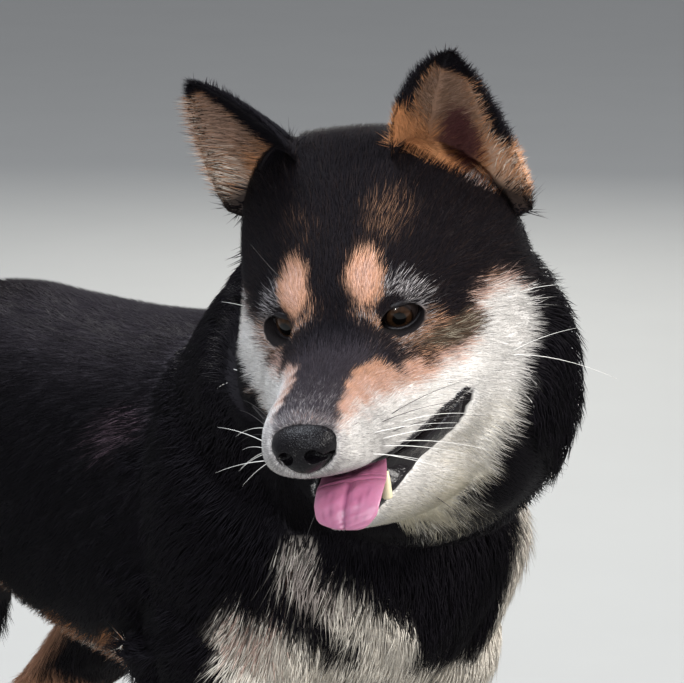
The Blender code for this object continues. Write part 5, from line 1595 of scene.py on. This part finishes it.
def makeTongue():
    rows = spline(tongueForm["rows"], 12)
    tip = rows[-1] + (rows[-1] - rows[-2]) * 0.8
    rows = np.vstack([rows, [*tip[:3], 0.0035], [*(tip[:3] + (rows[-1] - rows[-2])[:3] * 0.35), 0.0006]])
    tangents = unit(np.gradient(rows[:, :3], axis=0))
    rings, colours = [], []
    for i, ((x, y, z, half), along) in enumerate(zip(rows, tangents)):
        across = unit((np.array((1.0, 0, 0)) - along * along[0])[None])[0]
        up = np.cross(across, along)
        if up[2] < 0 and up[1] > 0:
            up = -up
        thin = min(1.0, half / 0.009)
        ring = []
        for k in range(tongueForm["sides"]):
            angle = 2 * math.pi * k / tongueForm["sides"]
            c, s = math.cos(angle), math.sin(angle)
            top = s > 0
            crease = 0.0011 * bell(c / 0.10) if top else 0.0
            crease += 0.00022 * math.sin(i * 0.55 + c * 8) * (1 - c * c) if top else 0.0
            thick = (tongueForm["top"] if top else tongueForm["under"]) * thin
            ring.append(np.array((x, y, z)) + across * (half * c) + up * (thick * s - crease * thin))
            veins = 0.85 * bell(c / 0.045)
            spread = 0.30 + 0.22 * (i / len(rows))
            for place in (-1, 1):
                outer = place * (0.20 + 1.9 * spread - 0.35)
                veins += (
                    0.70 * bell((c - place * spread) / 0.030) * (0.4 + 0.6 * math.sin(i * 0.21 + place) ** 2)
                )
                veins += 0.50 * bell((c - outer) / 0.026) * math.sin(i * 0.15 + 1.2 * place) ** 2
            tone = np.array(tongueForm["pink"])
            tone = (
                tone + (np.array(tongueForm["light"]) - tone) * (0.5 * abs(c) ** 6 + 0.25 * (i / len(rows)))
            )
            colours.append(tone + (np.array(tongueForm["deep"]) - tone)
                           * min(1.0, veins * (0.9 if top else 0.3)))
        rings.append(ring)
    tongue = loftRings("tongueMuscle", rings, headMatrix)
    addColours(tongue.data, "coatColour", np.array(colours))
    tongue.data.shade_smooth()
    return tongue


canineForm = {
    "left": (0.0192, -0.0350, -0.0772), "right": (-0.0090, -0.0375, -0.0800),
    # out, back and up from the root, and radius
    "rows": ((0.0, 0.0, 0.0, 0.0025), (0.0008, -0.0006, 0.0045, 0.0022), (0.0014, 0.0004, 0.0090, 0.0015),
             (0.0018, 0.0018, 0.0120, 0.0004)),
}


def makeCanine(side, word):
    x, y, z = canineForm[word]
    rows = [(x + side * out, y + back, z + up, radius) for out, back, up, radius in canineForm["rows"]]
    tooth = limb("canineTooth_" + word, rows, 20, 6, headMatrix)
    tooth.data.shade_smooth()
    return tooth


dress(makeTongue(), "tongue", ["tongue"])
for side, word in sides:
    dress(makeCanine(side, word), "tooth", ["canine_" + word])
print("stage: tongue and teeth")


# Whiskers

whiskerLook = {
    "thick": 0.00021, "thin": 0.00005, "steps": 9, "seed": 4, "black": (0.03, 0.025, 0.025),
    "white": (0.80, 0.78, 0.74),
}
# root (y, z), direction (out, y, z), length, droop and whether dark, in the head's frame
whiskers = (
    (-0.056, -0.0400, (0.75, 0.55, 0.10), 0.040, 0.006, 0),
    (-0.050, -0.0440, (0.70, 0.70, -0.05), 0.046, 0.008, 0),
    (-0.044, -0.0390, (0.70, 0.75, 0.15), 0.050, 0.010, 1),
    (-0.046, -0.0490, (0.80, 0.55, -0.20), 0.044, 0.008, 0),
    (-0.038, -0.0450, (0.75, 0.70, 0.05), 0.052, 0.012, 1),
    (-0.036, -0.0380, (0.70, 0.75, 0.20), 0.048, 0.010, 1),
    (-0.052, -0.0510, (0.80, 0.40, -0.35), 0.034, 0.005, 0),
    (-0.034, -0.0500, (0.80, 0.60, -0.15), 0.046, 0.010, 0),
    (-0.060, -0.0470, (0.85, 0.35, -0.15), 0.032, 0.005, 0),
    (-0.030, -0.0430, (0.80, 0.65, 0.05), 0.044, 0.012, 0),
    (0.026, -0.0330, (0.70, 0.70, -0.25), 0.046, 0.016, 0),
    (0.028, -0.0300, (0.75, 0.60, 0.10), 0.034, 0.006, 0),
    (0.000, -0.0900, (0.60, 0.30, -0.70), 0.026, 0.004, 1),
    (0.004, 0.0220, (0.45, -0.20, 0.80), 0.016, -0.004, 1),
    (0.050, -0.0080, (0.95, 0.30, 0.25), 0.024, 0.004, 0),
)


def makeWhiskers():
    draw = np.random.default_rng(whiskerLook["seed"])
    made = []
    for side in (1, -1):
        for y, z, (out, back, rise), length, droop, dark in whiskers:
            root = onSkin(side, y + draw.uniform(-0.002, 0.002), z + draw.uniform(-0.0015, 0.0015))
            if root is None:
                continue
            lay = unit(np.array([[side * out, back, rise]]) + draw.normal(0, 0.06, (1, 3)))[0]
            length *= draw.uniform(0.85, 1.15)
            rows = []
            for t in np.linspace(-0.03, 1, whiskerLook["steps"]):
                spot = root + lay * length * t + np.array((0.0, 0.35 * droop, -droop)) * t * abs(t)
                rows.append((*spot, whiskerLook["thick"]
                             + (whiskerLook["thin"] - whiskerLook["thick"]) * max(t, 0)))
            hair = loftRings("whisker", tubeRings(rows, 5), headMatrix)
            tone = whiskerLook["black"] if dark else whiskerLook["white"]
            addColours(hair.data, "coatColour", np.tile(tone, (len(hair.data.vertices), 1)))
            hair.data.shade_smooth()
            made.append(hair)
    return joinAll("whiskers", made)


dress(makeWhiskers(), "whisker")
print("stage: whiskers")


# Claws and pads

clawForm = {  # rows of (y, z, radius) from the toe's front
    "rows": ((0.0040, 0.0, 0.0026), (0.0, 0.0, 0.0026), (-0.0045, -0.0014, 0.0021),
             (-0.0078, -0.0046, 0.0008)),
    "reach": -0.0150, "share": 0.80, "drop": 0.001,
}
padForm = {"main": (0.004, (0.0115, 0.0095, 0.0036)), "toe": (0.001, (0.0052, 0.0070, 0.0030)),
           "height": 0.0030}


def makeFeet():
    claws, pads = [], []
    for side in (1, -1):
        for leg in ("front", "hind"):
            track, (y, _, height) = legForm[leg + "Track"], legForm[leg + "Paw"]
            spots = [(side * track, y + padForm["main"][0], padForm["main"][1])]
            for across, forward in zip(legForm["toeSpread"], legForm["toeReach"]):
                x, front = side * track + across, y + forward + clawForm["reach"]
                middle = height * clawForm["share"] - clawForm["drop"]
                rows = [(x, front + dy, middle + dz, r) for dy, dz, r in clawForm["rows"]]
                claws.append(limb("claw", rows, 14, 6))
                spots.append((x, y + forward + padForm["toe"][0], padForm["toe"][1]))
            for x, padY, radii in spots:
                pad = ball("pad", (x, padY, padForm["height"]), radii, detail=(24, 16))
                points = pointsOf(pad.data)
                points[:, 2] = np.maximum(points[:, 2], 0.0)
                setPoints(pad.data, points)
                pads.append(pad)
    return joinAll("claws", claws), joinAll("footPads", pads)


claws, pads = makeFeet()
clawNodes = [f"{leg}_claw_{word}_{k}" for leg in ("front", "hind") for _, word in sides for k in (1, 2, 3, 4)]
for obj in (claws, pads):
    obj.data.shade_smooth()
dress(claws, "claw", clawNodes)
dress(pads, "padSkin")
print("stage: feet")

fleshNodes = ["head", "lower_jaw", "neck", "torso", "hindquarters", "tail_1", "tail_2", "tail_3"]
paired = ("ear", "thigh", "front_leg", "hind_leg", "front_paw", "hind_paw")
fleshNodes += [f"{part}_{word}" for part in paired for _, word in sides]
dress(skin, "furSkin", fleshNodes)
for piece in coatPieces:
    dress(piece, "coat")


# Floor and light

studio = {"floor": 30.0, "floorHeight": -0.0002, "world": (0.90, 0.93, 1.0), "worldStrength": 0.48,
          "lamps": (  # place, size, power, colour, target
              ((0.9, -2.0, 1.9), 1.2, 88.0, (1.0, 0.97, 0.93), (-0.05, -0.15, 0.38)),
              ((-1.6, -1.2, 1.5), 1.4, 26.0, (0.90, 0.95, 1.0), (-0.05, -0.15, 0.38)),
              ((-0.3, 0.6, 2.4), 1.6, 60.0, (0.86, 0.92, 1.0), (-0.02, 0.0, 0.38)),
              ((1.6, 1.6, 1.2), 1.0, 24.0, (1.0, 0.98, 0.92), (0.0, 0.0, 0.35)),
              ((-1.30, -1.05, 0.70), 0.06, 3.5, (1.0, 0.99, 0.97), (-0.09, -0.26, 0.42)))}


def makeStudio():
    half, low = studio["floor"], studio["floorHeight"]
    corners = [(-half, -half, low), (half, -half, low), (half, half, low), (-half, half, low)]
    floor = meshObject("floor", corners, [(0, 1, 2, 3)])
    floor.data.materials.append(materials["floor"])
    bpy.context.scene.view_settings.view_transform = "Standard"
    world = bpy.data.worlds.new("studio")
    bpy.context.scene.world = world
    world.use_nodes = True
    sky = world.node_tree.nodes["Background"]
    setInputs(sky, {"Color": (*studio["world"], 1.0), "Strength": studio["worldStrength"]})
    for number, (place, size, power, colour, target) in enumerate(studio["lamps"], 1):
        data = bpy.data.lights.new(f"lamp{number}", "AREA")
        data.shape, data.size, data.energy, data.color = "DISK", size, power, colour
        lamp = addObject(f"lamp{number}", data)
        lamp.location = Vector(place)
        lamp.rotation_mode = "QUATERNION"
        lamp.rotation_quaternion = (Vector(target) - Vector(place)).to_track_quat("-Z", "Y")


makeStudio()
if "Cube" in bpy.data.objects:
    removeObject(bpy.data.objects["Cube"])  # a new file starts with one
print("stage: studio")
